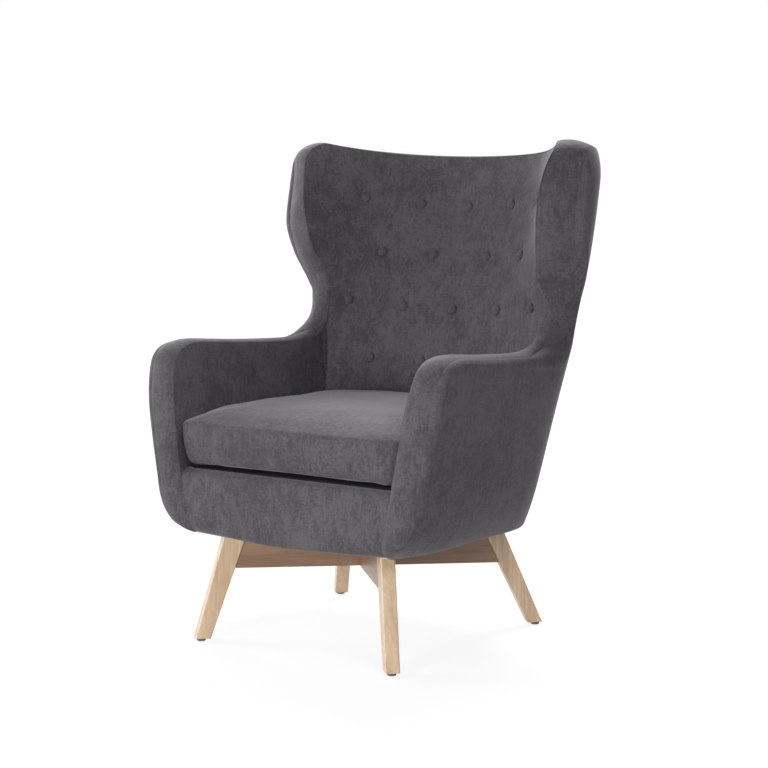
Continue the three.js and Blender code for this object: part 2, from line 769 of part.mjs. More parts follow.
/** Zigzag seat springs that run from the front rail to the rear one. */
function springs() {
  const front = frontRailBack - railThickness / 2;
  const rear = rearRailFront + railThickness / 2;
  const turns = Math.round((rear - front) / springPitch);
  const pitch = (rear - front) / turns;
  const z = railTop + gap + springWire / 2;
  const section = new THREE.Shape(Array.from({ length: wireSides }, (_, i) => {
    const angle = (i / wireSides) * 2 * Math.PI;
    return new THREE.Vector2(Math.cos(angle), Math.sin(angle)).multiplyScalar(springWire / 2);
  }));
  for (let spring = 0; spring < springCount; spring += 1) {
    const x = (spring - (springCount - 1) / 2) * springSpacing;
    const points = [];
    for (let step = 0; step <= 4 * turns; step += 1) {
      const swing = (springSwing / 2) * Math.sin((step / 4) * 2 * Math.PI);
      points.push(new THREE.Vector3(x + swing, front + (step / 4) * pitch, z));
    }
    const path = new THREE.CatmullRomCurve3(points);
    const wire = new THREE.ExtrudeGeometry(section, { steps: 4 * turns, extrudePath: path });
    add(`seat_spring_${spring + 1}`, toSolid(wire), steel);
  }
}

function seatDeck() {
  const low = railTop + springWire + 2 * gap;
  const room = slab(armFront + frontPanelThickness + gap, backHeight, low, low + deckThickness);
  add('seat_deck_pad', innerSolid(-gap).intersect(room), foam);
}

function dustCover() {
  const outline = outerRing(underside, dustCoverHem, true)
    .map((point) => new THREE.Vector3(point.x, Math.max(point.y, armFront + dustCoverHem * 2), 0));
  const bottom = underside - gap - dustCoverThickness;
  const sheet = loft([
    outline.map((point) => point.clone().setZ(bottom)),
    outline.map((point) => point.clone().setZ(bottom + dustCoverThickness)),
  ], planView);
  add('dust_cover', toSolid(sheet).subtract(boltHoles()), lining);
}

// Loose seat cushion

const cushionBottom = seatDeckTop + cushionSeatGap;
const cushionFront = armFront + cushionFrontSetback;

/** How much higher the cushion's top seam is at a depth than at its front. */
const cushionLift = (y) => cushionRise * smooth(y, cushionFront, cushionFront + cushionRiseRun);

/** Outline of the cushion where it meets the arms and the inner back, set in by `inset`. */
function cushionRing(z, inset, lifted = false) {
  const at = (y) => z + (lifted ? cushionLift(y) : 0);
  const corner = 2 * cushionEdgeRound;
  const rear = creaseAt(z);
  const beside = (y, drawn = 0) => [innerHalfWidth(y, at(y)) - drawn, y];
  const flank = [0.2, 0.45, 0.75].map((share) => beside(mix(cushionFront, rear, share), cushionDrawIn));
  const frontCorner = innerHalfWidth(cushionFront, z);
  const half = [
    [0, cushionFront],
    [frontCorner / 2, cushionFront],
    [frontCorner - corner, cushionFront],
    [frontCorner - 0.3 * corner, cushionFront + 0.3 * corner],
    beside(cushionFront + corner),
    ...flank,
    beside(rear - corner),
    ...[0.93, 0.84, 0.7, 0.5, 0.26, 0].map((share) => {
      const x = share * innerSection(z).halfWidth;
      return [x, innerBackAt(x, at(rear))];
    }),
  ].map(([x, y]) => new THREE.Vector3(x, y, at(y)));
  const moved = offsetLine(half, -inset - cushionSideGap);
  moved.slice(0, 3).forEach((point) => point.setY(cushionFront + inset));
  moved[0].x = 0;
  moved[moved.length - 1].x = 0;
  const left = moved.slice(1, -1).reverse()
    .map((point) => new THREE.Vector3(-point.x, point.y, point.z));
  return [...moved, ...left];
}

const domeShares = [0.985, 0.95, 0.87, 0.7, 0.45, 0.15];
const domePower = 5;

function seatCushion() {
  const seam = cushionBottom + cushionThickness - cushionEdgeRound;
  const crown = seam + cushionEdgeRound + cushionCrown;
  const rings = [
    cushionRing(cushionBottom, cushionEdgeRound),
    cushionRing(cushionBottom + 0.3 * cushionEdgeRound, 0.3 * cushionEdgeRound),
    cushionRing(cushionBottom + cushionEdgeRound, 0),
    cushionRing(cushionBottom + cushionThickness / 2, cushionDrawIn / 2),
    cushionRing(seam, 0, true),
  ];
  const middle = new THREE.Vector3(0, mix(cushionFront, creaseAt(seam), 0.5), 0);
  domeShares.forEach((share) => {
    rings.push(cushionRing(seam, 0, true).map((point) => {
      const flat = point.clone().lerp(middle, 1 - share);
      return flat.setZ(mix(point.z, crown, 1 - share ** domePower));
    }));
  });
  add('seat_cushion', toSolid(loft(rings, planView)), cloth);
}

// Oak base

/** Turn a solid made in the plane of a leg, where x runs outwards, and set it at the crossing. */
function placed(solid, across, along) {
  const angle = Math.atan2(along * Math.sin(crossAngle()), across * Math.cos(crossAngle()));
  const turn = new THREE.Matrix4().makeRotationZ(angle).setPosition(0, baseCentre, 0);
  return solid.transform(turn.elements);
}

const baseTop = underside - 2 * gap - dustCoverThickness;
const footReach = (along) => (along < 0 ? frontFootSpread : rearFootSpread) / Math.cos(crossAngle());
const legReach = (along) => (along < 0 ? frontLegReach : rearLegReach);
const legTop = (along) => (along < 0 ? frontLegTopWidth : rearLegTopWidth);

/** A leg face's distance from the crossing at a height; `face` is -1 inside and 1 outside. */
const legFace = (along, face, z) => mix(
  footReach(along) + face * legFootWidth / 2,
  legReach(along) + face * legTop(along) / 2,
  z / baseTop,
);
const legInnerFace = (along, z) => legFace(along, -1, z);

/** A leg's outline, from the crossing outwards, extruded across its thickness. */
function legSolid(along) {
  const soften = legEdgeRound;
  const corner = (face, z) => {
    const lean = (legFace(along, face, baseTop) - legFace(along, face, 0)) / baseTop;
    return new THREE.Vector2(legFace(along, face, z) - face * soften * Math.hypot(1, lean), z);
  };
  const shape = new THREE.Shape([
    corner(-1, glideHeight + soften),
    corner(1, glideHeight + soften),
    corner(1, baseTop - soften),
    corner(-1, baseTop - soften),
  ]);
  const leg = new THREE.ExtrudeGeometry(shape, {
    depth: legThickness - 2 * soften,
    bevelEnabled: true,
    bevelThickness: soften,
    bevelSize: soften,
    bevelSegments: 2,
  });
  leg.rotateX(Math.PI / 2);
  leg.translate(0, legThickness / 2 - soften, 0);
  return toSolid(leg);
}

/** A rail's tenon, or with `slack` its mortise, on the inner side of a leg. */
function tenon(along, slack) {
  const z = baseTop - crossRailHeight / 2;
  return block(
    [legInnerFace(along, baseTop) - overrun / 2, -tenonThickness / 2 - slack, z - tenonHeight / 2 - slack],
    [legInnerFace(along, z) + tenonLength + slack, tenonThickness / 2 + slack, z + tenonHeight / 2 + slack],
  );
}

function legs() {
  boltPlaces().forEach(({ name }, i) => {
    const across = i % 2 === 0 ? -1 : 1;
    const along = i < 2 ? -1 : 1;
    add(`leg_${name}`, placed(legSolid(along).subtract(tenon(along, gap)), across, along), oak);
    const glide = {
      place: new THREE.Vector3(
        across * Math.cos(crossAngle()) * footReach(along),
        baseCentre + along * Math.sin(crossAngle()) * footReach(along),
        0,
      ),
      facing: new THREE.Vector3(0, 0, 1),
    };
    add(`glide_${name}`, turned([
      [0, 0],
      [glideRadius - glideChamfer, 0],
      [glideRadius, glideChamfer],
      [glideRadius, glideHeight - gap],
      [0, glideHeight - gap],
    ], 14, glide), plastic);
  });
}

/** Half of a rail from the crossing out to one leg, with its end cut to the leg and its tenon. */
function railHalf(along) {
  const low = baseTop - crossRailHeight;
  const end = low - along * crossRailRake;
  const shape = new THREE.Shape([
    new THREE.Vector2(0, low),
    new THREE.Vector2(legInnerFace(along, end) - gap, end),
    new THREE.Vector2(legInnerFace(along, baseTop) - gap, baseTop),
    new THREE.Vector2(0, baseTop),
  ]);
  const rail = new THREE.ExtrudeGeometry(shape, { depth: crossRailThickness, bevelEnabled: false });
  rail.rotateX(Math.PI / 2);
  rail.translate(0, crossRailThickness / 2, 0);
  return toSolid(rail).add(tenon(along, 0));
}

function crossRails() {
  const holes = wasm.Manifold.union(boltPlaces().flatMap(({ x, y }) => [
    bar(boltRadius + gap, 0, armHeight, x, y),
    bar(boltHeadRadius + 2 * gap, 0, baseTop - crossRailHeight + boltSink + gap, x, y),
  ]));
  const middle = baseTop - crossRailHeight / 2;
  const other = crossRailThickness + 2 * gap;
  const notch = (low, high, turn) => {
    const solid = block([-overrun, -other / 2, low], [overrun, other / 2, high]);
    const matrix = new THREE.Matrix4().makeRotationZ(turn).setPosition(0, baseCentre, 0);
    return solid.transform(matrix.elements);
  };
  const rails = [
    ['cross_rail_a', 1, notch(middle - gap / 2, baseTop + overrun, -crossAngle())],
    ['cross_rail_b', -1, notch(0, middle + gap / 2, crossAngle())],
  ];
  rails.forEach(([name, across, cut]) => {
    const rear = placed(railHalf(1), across, 1);
    const front = placed(railHalf(-1), -across, -1);
    add(name, rear.add(front).subtract(cut).subtract(holes), oak);
  });
}

function bolts() {
  const head = baseTop - crossRailHeight + boltSink;
  boltPlaces().forEach(({ name, x, y }) => {
    const shank = bar(boltRadius, head - boltHeadHeight / 2, railBottom + boltBite, x, y);
    const cap = bar(boltHeadRadius, head - boltHeadHeight, head, x, y);
    add(`base_bolt_${name}`, shank.add(cap), steel);
  });
}

outerCovers();
edgeBands();
frontPanel();
innerPads();
wallFrames();
seatFrame();
springs();
seatDeck();
dustCover();
seatCushion();
legs();
crossRails();
bolts();

// The origin is on the floor, under the middle of the chair's depth.
const bounds = new THREE.Box3().setFromObject(chair);
chair.position.y = -(bounds.min.y + bounds.max.y) / 2;

export default chair;
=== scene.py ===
"""Looks of a wingback armchair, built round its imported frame. Units are metres and +Z is up."""

from __future__ import annotations

import logging
import math
from dataclasses import dataclass, field
from enum import Enum
from typing import Callable, Sequence, Union

import bmesh
import bpy
import numpy as np
from mathutils import Matrix, Vector


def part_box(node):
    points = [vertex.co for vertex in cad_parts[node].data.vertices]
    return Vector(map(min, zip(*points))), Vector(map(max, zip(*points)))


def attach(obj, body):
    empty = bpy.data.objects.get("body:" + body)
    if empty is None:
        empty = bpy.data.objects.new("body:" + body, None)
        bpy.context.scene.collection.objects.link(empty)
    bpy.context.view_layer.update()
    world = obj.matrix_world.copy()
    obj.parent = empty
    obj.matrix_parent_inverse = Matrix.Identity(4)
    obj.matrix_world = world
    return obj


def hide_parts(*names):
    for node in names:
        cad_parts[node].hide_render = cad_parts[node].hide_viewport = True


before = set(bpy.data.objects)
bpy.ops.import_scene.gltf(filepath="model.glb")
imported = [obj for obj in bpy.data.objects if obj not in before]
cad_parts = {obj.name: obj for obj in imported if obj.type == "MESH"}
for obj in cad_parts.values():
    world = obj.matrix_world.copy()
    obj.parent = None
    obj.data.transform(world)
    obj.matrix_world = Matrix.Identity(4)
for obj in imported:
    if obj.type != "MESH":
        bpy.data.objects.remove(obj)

log = logging.getLogger("armchair")
Array = np.ndarray
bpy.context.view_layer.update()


# Curves and grids


def smooth_step(value: Array, low: float, high: float) -> Array:
    """A smooth rise from 0 at `low` to 1 at `high`.

    Args:
        value: Places to read it at.
        low: Where it starts.
        high: Where it is whole.

    Returns:
        The rise at each place.
    """
    share = np.clip((value - low) / (high - low), 0.0, 1.0)
    return share * share * (3 - 2 * share)


def spline_at(points: Array, index: Array) -> Array:
    """A smooth curve through a row of points, read at fractional indices.

    Args:
        points: The row, one point a line.
        index: Places along it, in whole points.

    Returns:
        One point for each place.
    """
    last = len(points) - 1
    low = np.clip(np.floor(index).astype(int), 0, last - 1)
    t = (index - low)[:, None]
    before = points[np.maximum(low - 1, 0)]
    start, end = points[low], points[low + 1]
    after = points[np.minimum(low + 2, last)]
    slope_in, slope_out = (end - before) / 2, (after - start) / 2
    return (
        (2 * t**3 - 3 * t**2 + 1) * start
        + (t**3 - 2 * t**2 + t) * slope_in
        + (3 * t**2 - 2 * t**3) * end
        + (t**3 - t**2) * slope_out
    )


def lengths(points: Array) -> Array:
    """Length along a row of points up to each of them."""
    steps = np.linalg.norm(np.diff(points, axis=0), axis=1)
    return np.concatenate([[0.0], np.cumsum(steps)])


def respace(points: Array, count: int) -> Array:
    """A row of points spaced evenly along the same line.

    Args:
        points: The row.
        count: How many points the new row has.

    Returns:
        The new row.
    """
    along = lengths(points)
    places = np.linspace(0, along[-1], count)
    return np.stack([np.interp(places, along, column) for column in points.T], axis=1)


def relax(points: Array, passes: int) -> Array:
    """A row of points with its corners eased and its ends kept."""
    eased = points.copy()
    for _ in range(passes):
        eased[1:-1] = 0.5 * eased[1:-1] + 0.25 * (eased[:-2] + eased[2:])
    return eased


def read_table(places: Sequence[float], values: Sequence[float], at: Array) -> Array:
    """A smooth curve through a table of values.

    Args:
        places: Where the values stand, rising.
        values: The values.
        at: Where to read it.

    Returns:
        The value at each place, held past the ends.
    """
    index = np.interp(at, places, np.arange(len(places)))
    flat = np.asarray(index, float).ravel()
    column = np.asarray(values, float)[:, None]
    return spline_at(column, flat)[:, 0].reshape(np.shape(index))


def coons(bottom: Array, top: Array, left: Array, right: Array) -> Array:
    """A grid of plane points that fills four edge curves.

    Args:
        bottom: Edge from left to right.
        top: Edge from left to right, with as many points as the bottom.
        left: Edge from bottom to top.
        right: Edge from bottom to top, with as many points as the left.

    Returns:
        Points in rows from bottom to top.
    """
    u = np.linspace(0, 1, len(bottom))[None, :, None]
    v = np.linspace(0, 1, len(left))[:, None, None]
    ruled = (1 - v) * bottom[None] + v * top[None] + (1 - u) * left[:, None] + u * right[:, None]
    corners = (1 - v) * ((1 - u) * bottom[0] + u * bottom[-1]) + v * ((1 - u) * top[0] + u * top[-1])
    return ruled - corners


def grid_normals(grid: Array) -> Array:
    """Unit normals of a grid of points, on the side where its columns turn right of its rows."""
    along = np.gradient(grid, axis=1)
    up = np.gradient(grid, axis=0)
    normal = np.cross(along, up)
    return normal / np.maximum(np.linalg.norm(normal, axis=2, keepdims=True), 1e-12)


def distance_to(grid: Array, line: Array) -> Array:
    """Distance of each point of a grid from a row of points, seen as a dense line."""
    flat = grid.reshape(-1, 3)
    dense = respace(line, max(2, int(lengths(line)[-1] / 0.004)))
    nearest = np.full(len(flat), np.inf)
    for start in range(0, len(dense), 64):
        part = dense[start : start + 64]
        gaps = ((flat[:, None, :] - part[None]) ** 2).sum(axis=2)
        nearest = np.minimum(nearest, gaps.min(axis=1))
    return np.sqrt(nearest).reshape(grid.shape[:2])


# Shape of the body


@dataclass(frozen=True)
class BodyForm:
    """The body's outside and inside surfaces, in the frame that they were measured in.

    The sizes are those of the part's source, in metres. `shift` is the way along Y from that frame
    to the row's.
    """

    shift: float
    back_height: float = 1.040
    underside: float = 0.229
    arm_height: float = 0.617
    top_dip: float = 0.033
    dip_swing: float = 1.12
    dip_power: float = 2.2
    sill_half_width: float = 0.328
    head_half_width: float = 0.388
    arm_front: float = -0.409
    rear_depth: float = 0.250
    sill_rear_centre: float = -0.066
    rear_lean: float = 0.227
    bottom_round: float = 0.118
    fade_run: float = 0.490
    top_round_drop: float = 0.090
    top_round_reach: float = 0.044
    back_thickness: float = 0.091
    arm_thickness: float = 0.072
    sill_arm_thickness: float = 0.093
    wing_reach: float = 0.208
    crease_y: float = 0.100
    hem_round: float = 0.009
    narrow_heights: tuple[float, ...] = (0.229, 0.25, 0.27, 0.305, 0.35, 0.42, 0.50, 0.56)
    narrow_widths: tuple[float, ...] = (0.0, 0.003, 0.0060, 0.0115, 0.0115, 0.006, 0.001, 0.0)
    full_heights: tuple[float, ...] = (0.40, 0.48, 0.55, 0.62, 0.70, 0.78, 0.86, 0.93, 1.0)
    full_depths: tuple[float, ...] = (0.0, 0.001, 0.0035, 0.0068, 0.0072, 0.0078, 0.0062, 0.0032, 0.0)
    least_band: float = 0.014
    fade_places: tuple[float, ...] = (0, 0.1, 0.26, 0.63, 0.78, 1)
    fade_shares: tuple[float, ...] = (1, 0.68, 0.45, 0.41, 0.33, 0)
    section_heights: tuple[float, ...] = (
        -0.124, 0.325, 0.417, 0.479, 0.545, 0.612, 0.683, 0.755, 0.826, 0.908, 0.99, 1.102,
    )
    section_widths: tuple[float, ...] = (
        0.72, 0.727, 0.733, 0.737, 0.732, 0.744, 0.762, 0.77, 0.774, 0.79, 0.822, 0.84,
    )
    section_reaches: tuple[float, ...] = (
        0.327, 0.327, 0.345, 0.385, 0.42, 0.58, 0.78, 0.93, 1.0, 1.0, 0.98, 0.97,
    )
    section_powers: tuple[float, ...] = (3.0, 3.0, 2.7, 2.3, 2.0, 2.2, 2.5, 2.9, 3.1, 3.2, 3.3, 3.3)

    def rise(self, z: Array) -> Array:
        """Share of the body's height at a height."""
        return (z - self.underside) / (self.back_height - self.underside)

    def side(self, z: Array) -> Array:
        """Half the body's width before its edges are rounded."""
        share = 1 - (1 - np.clip(self.rise(z), 0, 1)) ** 2
        return self.sill_half_width + (self.head_half_width - self.sill_half_width) * share

    def rear_centre(self, z: Array) -> Array:
        """Depth at which the round rear starts."""
        return self.sill_rear_centre + self.rear_lean * self.rise(z)

    def outer_half(self, y: Array, z: Array) -> Array:
        """Half the body's width at a depth and a height."""
        past = np.clip((y - self.rear_centre(z)) / self.rear_depth, 0, 0.9999)
        return self.side(z) * np.sqrt(1 - past**2)

    def dip(self, x: Array, y: Array) -> Array:
        """Fall of the top edge below the wing tops."""
        turn = np.abs(np.arctan2(x, y))
        return self.top_dip * (1 - np.clip(turn / self.dip_swing, 0, 1) ** self.dip_power)

    def draw_in(self, y: Array, z: Array) -> Array:
        """How far the outside draws in near the bottom and along the top edge."""
        low = np.clip((z - self.underside) / self.bottom_round, 0, 1)
        bottom = self.bottom_round * (1 - np.sqrt(1 - (1 - low) ** 2))
        share = (y - self.arm_front) / self.fade_run
        fade = read_table(self.fade_places, self.fade_shares, share)
        high = np.clip((self.back_height - z) / self.top_round_drop, 0, 1)
        top = self.top_round_reach * (1 - np.sqrt(1 - (1 - high) ** 2))
        near = np.clip((z - self.underside) / self.hem_round, 0, 1)
        hem = self.hem_round * (1 - np.sqrt(1 - (1 - near) ** 2))
        return np.maximum(bottom * fade, 0) + top + hem

    def fullness(self, place: Array, z: Array) -> Array:
        """How far the padding stands out at the round corners of the rear."""
        most = read_table(self.full_heights, self.full_depths, z)
        return np.maximum(most, 0) * smooth_step(place, -0.10, 0.12) * (1 - 0.5 * smooth_step(place, 0.6, 1))

    def narrowing(self, y: Array, z: Array) -> Array:
        """How much narrower the body is low down at the arms' fronts."""
        most = read_table(self.narrow_heights, self.narrow_widths, z)
        return np.maximum(most, 0) * (1 - smooth_step(y, -0.38, -0.20))

    def section(self, z: Array) -> tuple[Array, Array, Array]:
        """Half-width, reach and power of the inner surface at a height."""
        share = self.rise(z)
        width = read_table(self.section_heights, self.section_widths, share) * self.side(z)
        reach = read_table(self.section_heights, self.section_reaches, share) * self.wing_reach
        return width, reach, read_table(self.section_heights, self.section_powers, share)

    def inner_middle(self, z: Array) -> Array:
        """Depth of the inner back on the middle line."""
        return self.rear_centre(z) + self.rear_depth - self.back_thickness

    def inner_half(self, y: Array, z: Array) -> Array:
        """Half-width of the space between the arms or wings at a depth and a height."""
        width, reach, power = self.section(z)
        crease = self.inner_middle(z) - reach
        share = (z - self.underside) / (self.arm_height - self.underside)
        wall = self.sill_arm_thickness + (self.arm_thickness - self.sill_arm_thickness) * share
        front = self.side(z) - wall
        ahead = front + (width - front) * (y - self.arm_front) / (crease - self.arm_front)
        back = width * np.clip((self.inner_middle(z) - y) / reach, 0, 1) ** (1 / power)
        return np.where(y > crease, back, ahead)

    def inner_share(self, y: Array, z: Array) -> Array:
        """Place across the inner surface: 0 in the middle, 1 at its crease, more along an arm."""
        width, reach, power = self.section(z)
        crease = self.inner_middle(z) - reach
        back = np.clip((self.inner_middle(z) - y) / reach, 0, 1) ** (1 / power)
        return np.where(y > crease, back, 1 + (crease - y) / width)

    def inner_point(self, share: Array, z: Array) -> Array:
        """Point of the inner surface at a place across it and a height."""
        width, reach, power = self.section(z)
        size = np.abs(share)
        crease = self.inner_middle(z) - reach
        depth_back = self.inner_middle(z) - reach * np.minimum(size, 1) ** power
        y = np.where(size > 1, crease - (size - 1) * width, depth_back)
        x = np.where(size > 1, self.inner_half(np.minimum(y, crease), z), size * width)
        return np.stack([np.sign(share) * x, y, z * np.ones_like(x)], axis=-1)

    def outer_point(self, place: Array, z: Array, inset: Array) -> Array:
        """Point of the outside on the right.

        Args:
            place: Way round it: negative lengths ahead of the round rear, then 0 to 1 to the middle.
            z: Height.
            inset: How far inside the unrounded face the point lies.

        Returns:
            The points.
        """
        side, centre = self.side(z), self.rear_centre(z)
        angle = np.clip(place, 0, 1) * math.pi / 2
        x, y = side * np.cos(angle), centre + self.rear_depth * np.sin(angle)
        nx, ny = np.cos(angle) / side, np.sin(angle) / self.rear_depth
        size = np.hypot(nx, ny)
        x, y = x - inset * nx / size, y - inset * ny / size
        return np.stack([x, y + np.minimum(place, 0), z * np.ones_like(x)], axis=-1)

    def unrounded_depth(self, place: Array, z: Array) -> Array:
        """Depth of the unrounded outside at a way round it."""
        turn = np.sin(np.clip(place, 0, 1) * math.pi / 2)
        return self.rear_centre(z) + np.minimum(place, 0) + self.rear_depth * turn

    def outer_place(self, y: Array, z: Array) -> Array:
        """Way round the outside of a point of its unrounded face, as `outer_point` reads it."""
        past = y - self.rear_centre(z)
        round_ = np.arcsin(np.clip(past / self.rear_depth, 0, 1)) / (math.pi / 2)
        return np.where(past < 0, past, round_)

    def settled(self, grid: Array) -> Array:
        """Points moved from the measured frame to the row's."""
        moved = grid.copy()
        moved[..., 1] += self.shift
        return moved


def band_normals(outer: Array, inner: Array) -> Array:
    """Outward normals of the band between its two seams, point for point."""
    normal = np.cross(np.gradient((outer + inner) / 2, axis=0), inner - outer)
    return normal / np.linalg.norm(normal, axis=1, keepdims=True)


@dataclass(frozen=True)
class Seams:
    """The two seams of the band on the right, point for point, with what they are built from."""

    form: BodyForm
    seam_wrap: float = 0.018
    side_round: float = 0.017
    top_tightening: float = 0.5
    waist_pinch: float = 0.034
    waist_back: float = 0.128
    wing_front: float = 0.070
    outer_arm_back: float = 0.113
    outer_waist_back: float = 0.148
    outer_wing_front: float = 0.106
    front_round: float = 0.032
    lip_heights: tuple[float, ...] = (
        0.23, 0.62, 0.635, 0.66, 0.69, 0.72, 0.755, 0.79, 0.83, 0.93, 0.99, 1.01, 1.022,
    )
    lips: tuple[float, ...] = (
        0.0, 0.0, 0.0, 0.006, 0.012, 0.010, 0.002, -0.001, 0.0, 0.0, 0.002, 0.002, 0.002,
    )
    shoulder_drop: float = 0.017
    top_points: int = 26
    front_shares: tuple[tuple[float, float], ...] = (
        (1.75, 0.0), (1.25, 0.0), (0.775, 0.095), (0.36, 0.36), (0.10, 0.74),
    )
    arm_shares: tuple[tuple[float, float], ...] = (
        (0, 0.079), (0, 0.309), (0.008, 0.529), (0.014, 0.665), (0.027, 0.791), (0.05, 0.901),
        (0.077, 0.953), (0.112, 0.984), (0.16, 0.998), (0.21, 1), (0.33, 0.987), (0.45, 0.974),
        (0.62, 0.96), (0.765, 0.953), (0.86, 0.96), (0.93, 0.984),
    )
    inner_wing_shares: tuple[tuple[float, float], ...] = (
        (0.76, 0.03), (0.96, 0.1), (1, 0.165), (0.92, 0.235), (0.7, 0.33), (0.32, 0.425),
        (0.09, 0.53), (0, 0.66), (0.12, 0.77), (0.36, 0.88), (0.78, 0.955), (1.2, 0.982),
    )
    outer_wing_shares: tuple[tuple[float, float], ...] = (
        (0.05, 0.045), (0.45, 0.09), (0.81, 0.154), (1, 0.2), (0.9, 0.26), (0.55, 0.345),
        (0.29, 0.433), (0, 0.58), (0.29, 0.735), (0.6, 0.85), (0.85, 0.92), (1.12, 0.95),
    )

    def outline(self, arm_back: float, back: float, front: float, wing: Sequence) -> Array:
        """Side view of a seam from under the front to the top of the wing, as (y, z) points."""
        form = self.form
        start = [
            (form.arm_front + y * self.front_round, form.underside + z * self.front_round)
            for y, z in self.front_shares
        ]
        arm = [
            (
                form.arm_front + (arm_back - form.arm_front) * y,
                form.underside + (form.arm_height - form.underside) * z,
            )
            for y, z in self.arm_shares
        ]
        head = [
            (front + (back - front) * y, form.arm_height + (form.back_height - form.arm_height) * z)
            for y, z in wing
        ]
        return np.array(start + arm + head)

    def waist_share(self, y: Array, z: Array) -> Array:
        """Share of the waist's pinch at a place."""
        return smooth_step(y, -0.06, 0.06) * (1 - smooth_step(z, 0.63, 0.81))

    def wrap(self, y: Array, z: Array) -> Array:
        """How far the side's edge rolls in before it meets the outer seam."""
        top = 1 - self.top_tightening * smooth_step(z, 0.96, 1.015)
        return self.seam_wrap * top + self.waist_pinch * self.waist_share(y, z)

    def outer_inset(self, y: Array, z: Array) -> Array:
        """Distance of the outer seam from the unrounded side face."""
        form = self.form
        inset = (self.wrap(y, z) ** 3 + form.draw_in(y, z) ** 3) ** (1 / 3) + form.narrowing(y, z)
        most = form.outer_half(y, z) - form.inner_half(y, z) - form.least_band
        return np.minimum(inset, np.maximum(most, 0.004))

    def top_turns(self, start: float) -> Array:
        """Turns from the wing's top to the middle of the back."""
        return np.linspace(start, 0, self.top_points)

    def along_top(self, turns: Array, drop: float, at_height: Callable[[Array], Array]) -> Array:
        """Points where plan lines from the middle of the seat meet a surface at the top edge."""
        form = self.form
        points = []
        for turn in turns:
            z = form.back_height - drop - float(form.dip(np.sin(turn), np.cos(turn)))
            line = at_height(np.array(z))
            angles = np.arctan2(line[:, 0], line[:, 1])
            order = np.argsort(angles)
            y = np.interp(turn, angles[order], line[order, 1])
            x = np.interp(turn, angles[order], line[order, 0])
            points.append((x, y, z))
        return np.array(points)

    def lines(self, step: float = 0.004) -> tuple[Array, Array]:
        """The outer and the inner seam from under the front to the middle of the back.

        Args:
            step: About how far apart their points are.

        Returns:
            The outer and the inner seam, point for point.
        """
        form = self.form
        inner = self.outline(self.waist_back, self.waist_back, self.wing_front, self.inner_wing_shares)
        outer = self.outline(
            self.outer_arm_back, self.outer_waist_back, self.outer_wing_front, self.outer_wing_shares
        )
        fine = np.linspace(0, len(inner) - 1, 12 * len(inner))
        inner, outer = spline_at(inner, fine), spline_at(outer, fine)
        inner3 = np.stack([form.inner_half(*inner.T), *inner.T], axis=1)
        x = form.outer_half(*outer.T) - self.outer_inset(*outer.T)
        outer3 = np.stack([x, *outer.T], axis=1)
        shares = np.linspace(0, 1, 240)
        inner_start = math.atan2(inner3[-1, 0], inner3[-1, 1])
        outer_start = math.atan2(outer3[-1, 0], outer3[-1, 1])
        inner_top = self.along_top(
            self.top_turns(inner_start - 0.05), 0.002, lambda z: form.inner_point(shares, z)
        )
        places = np.linspace(-0.3, 1, 240)
        outer_top = self.along_top(
            self.top_turns(outer_start - 0.05),
            self.shoulder_drop,
            lambda z: form.outer_point(places, z, self.outer_inset(form.unrounded_depth(places, z), z)),
        )
        inner3, outer3 = np.concatenate([inner3, inner_top]), np.concatenate([outer3, outer_top])
        along = lengths((inner3 + outer3) / 2)
        places = np.linspace(0, along[-1], int(along[-1] / step))
        index = np.interp(places, along, np.arange(len(along)))
        inner3, outer3 = spline_at(inner3, index), spline_at(outer3, index)
        outer3, inner3 = relax(outer3, 4), relax(inner3, 4)
        lip = np.interp(outer3[:, 2], self.lip_heights, self.lips)
        return outer3 + lip[:, None] * band_normals(outer3, inner3), inner3

    def fold_index(self, inner: Array) -> int:
        """Index of the fold across the band at the waist, where the arm's band ends."""
        waist = np.flatnonzero((inner[:, 1] > self.form.crease_y - 0.010) & (inner[:, 2] > 0.59))
        return int(waist[0])


# Building meshes


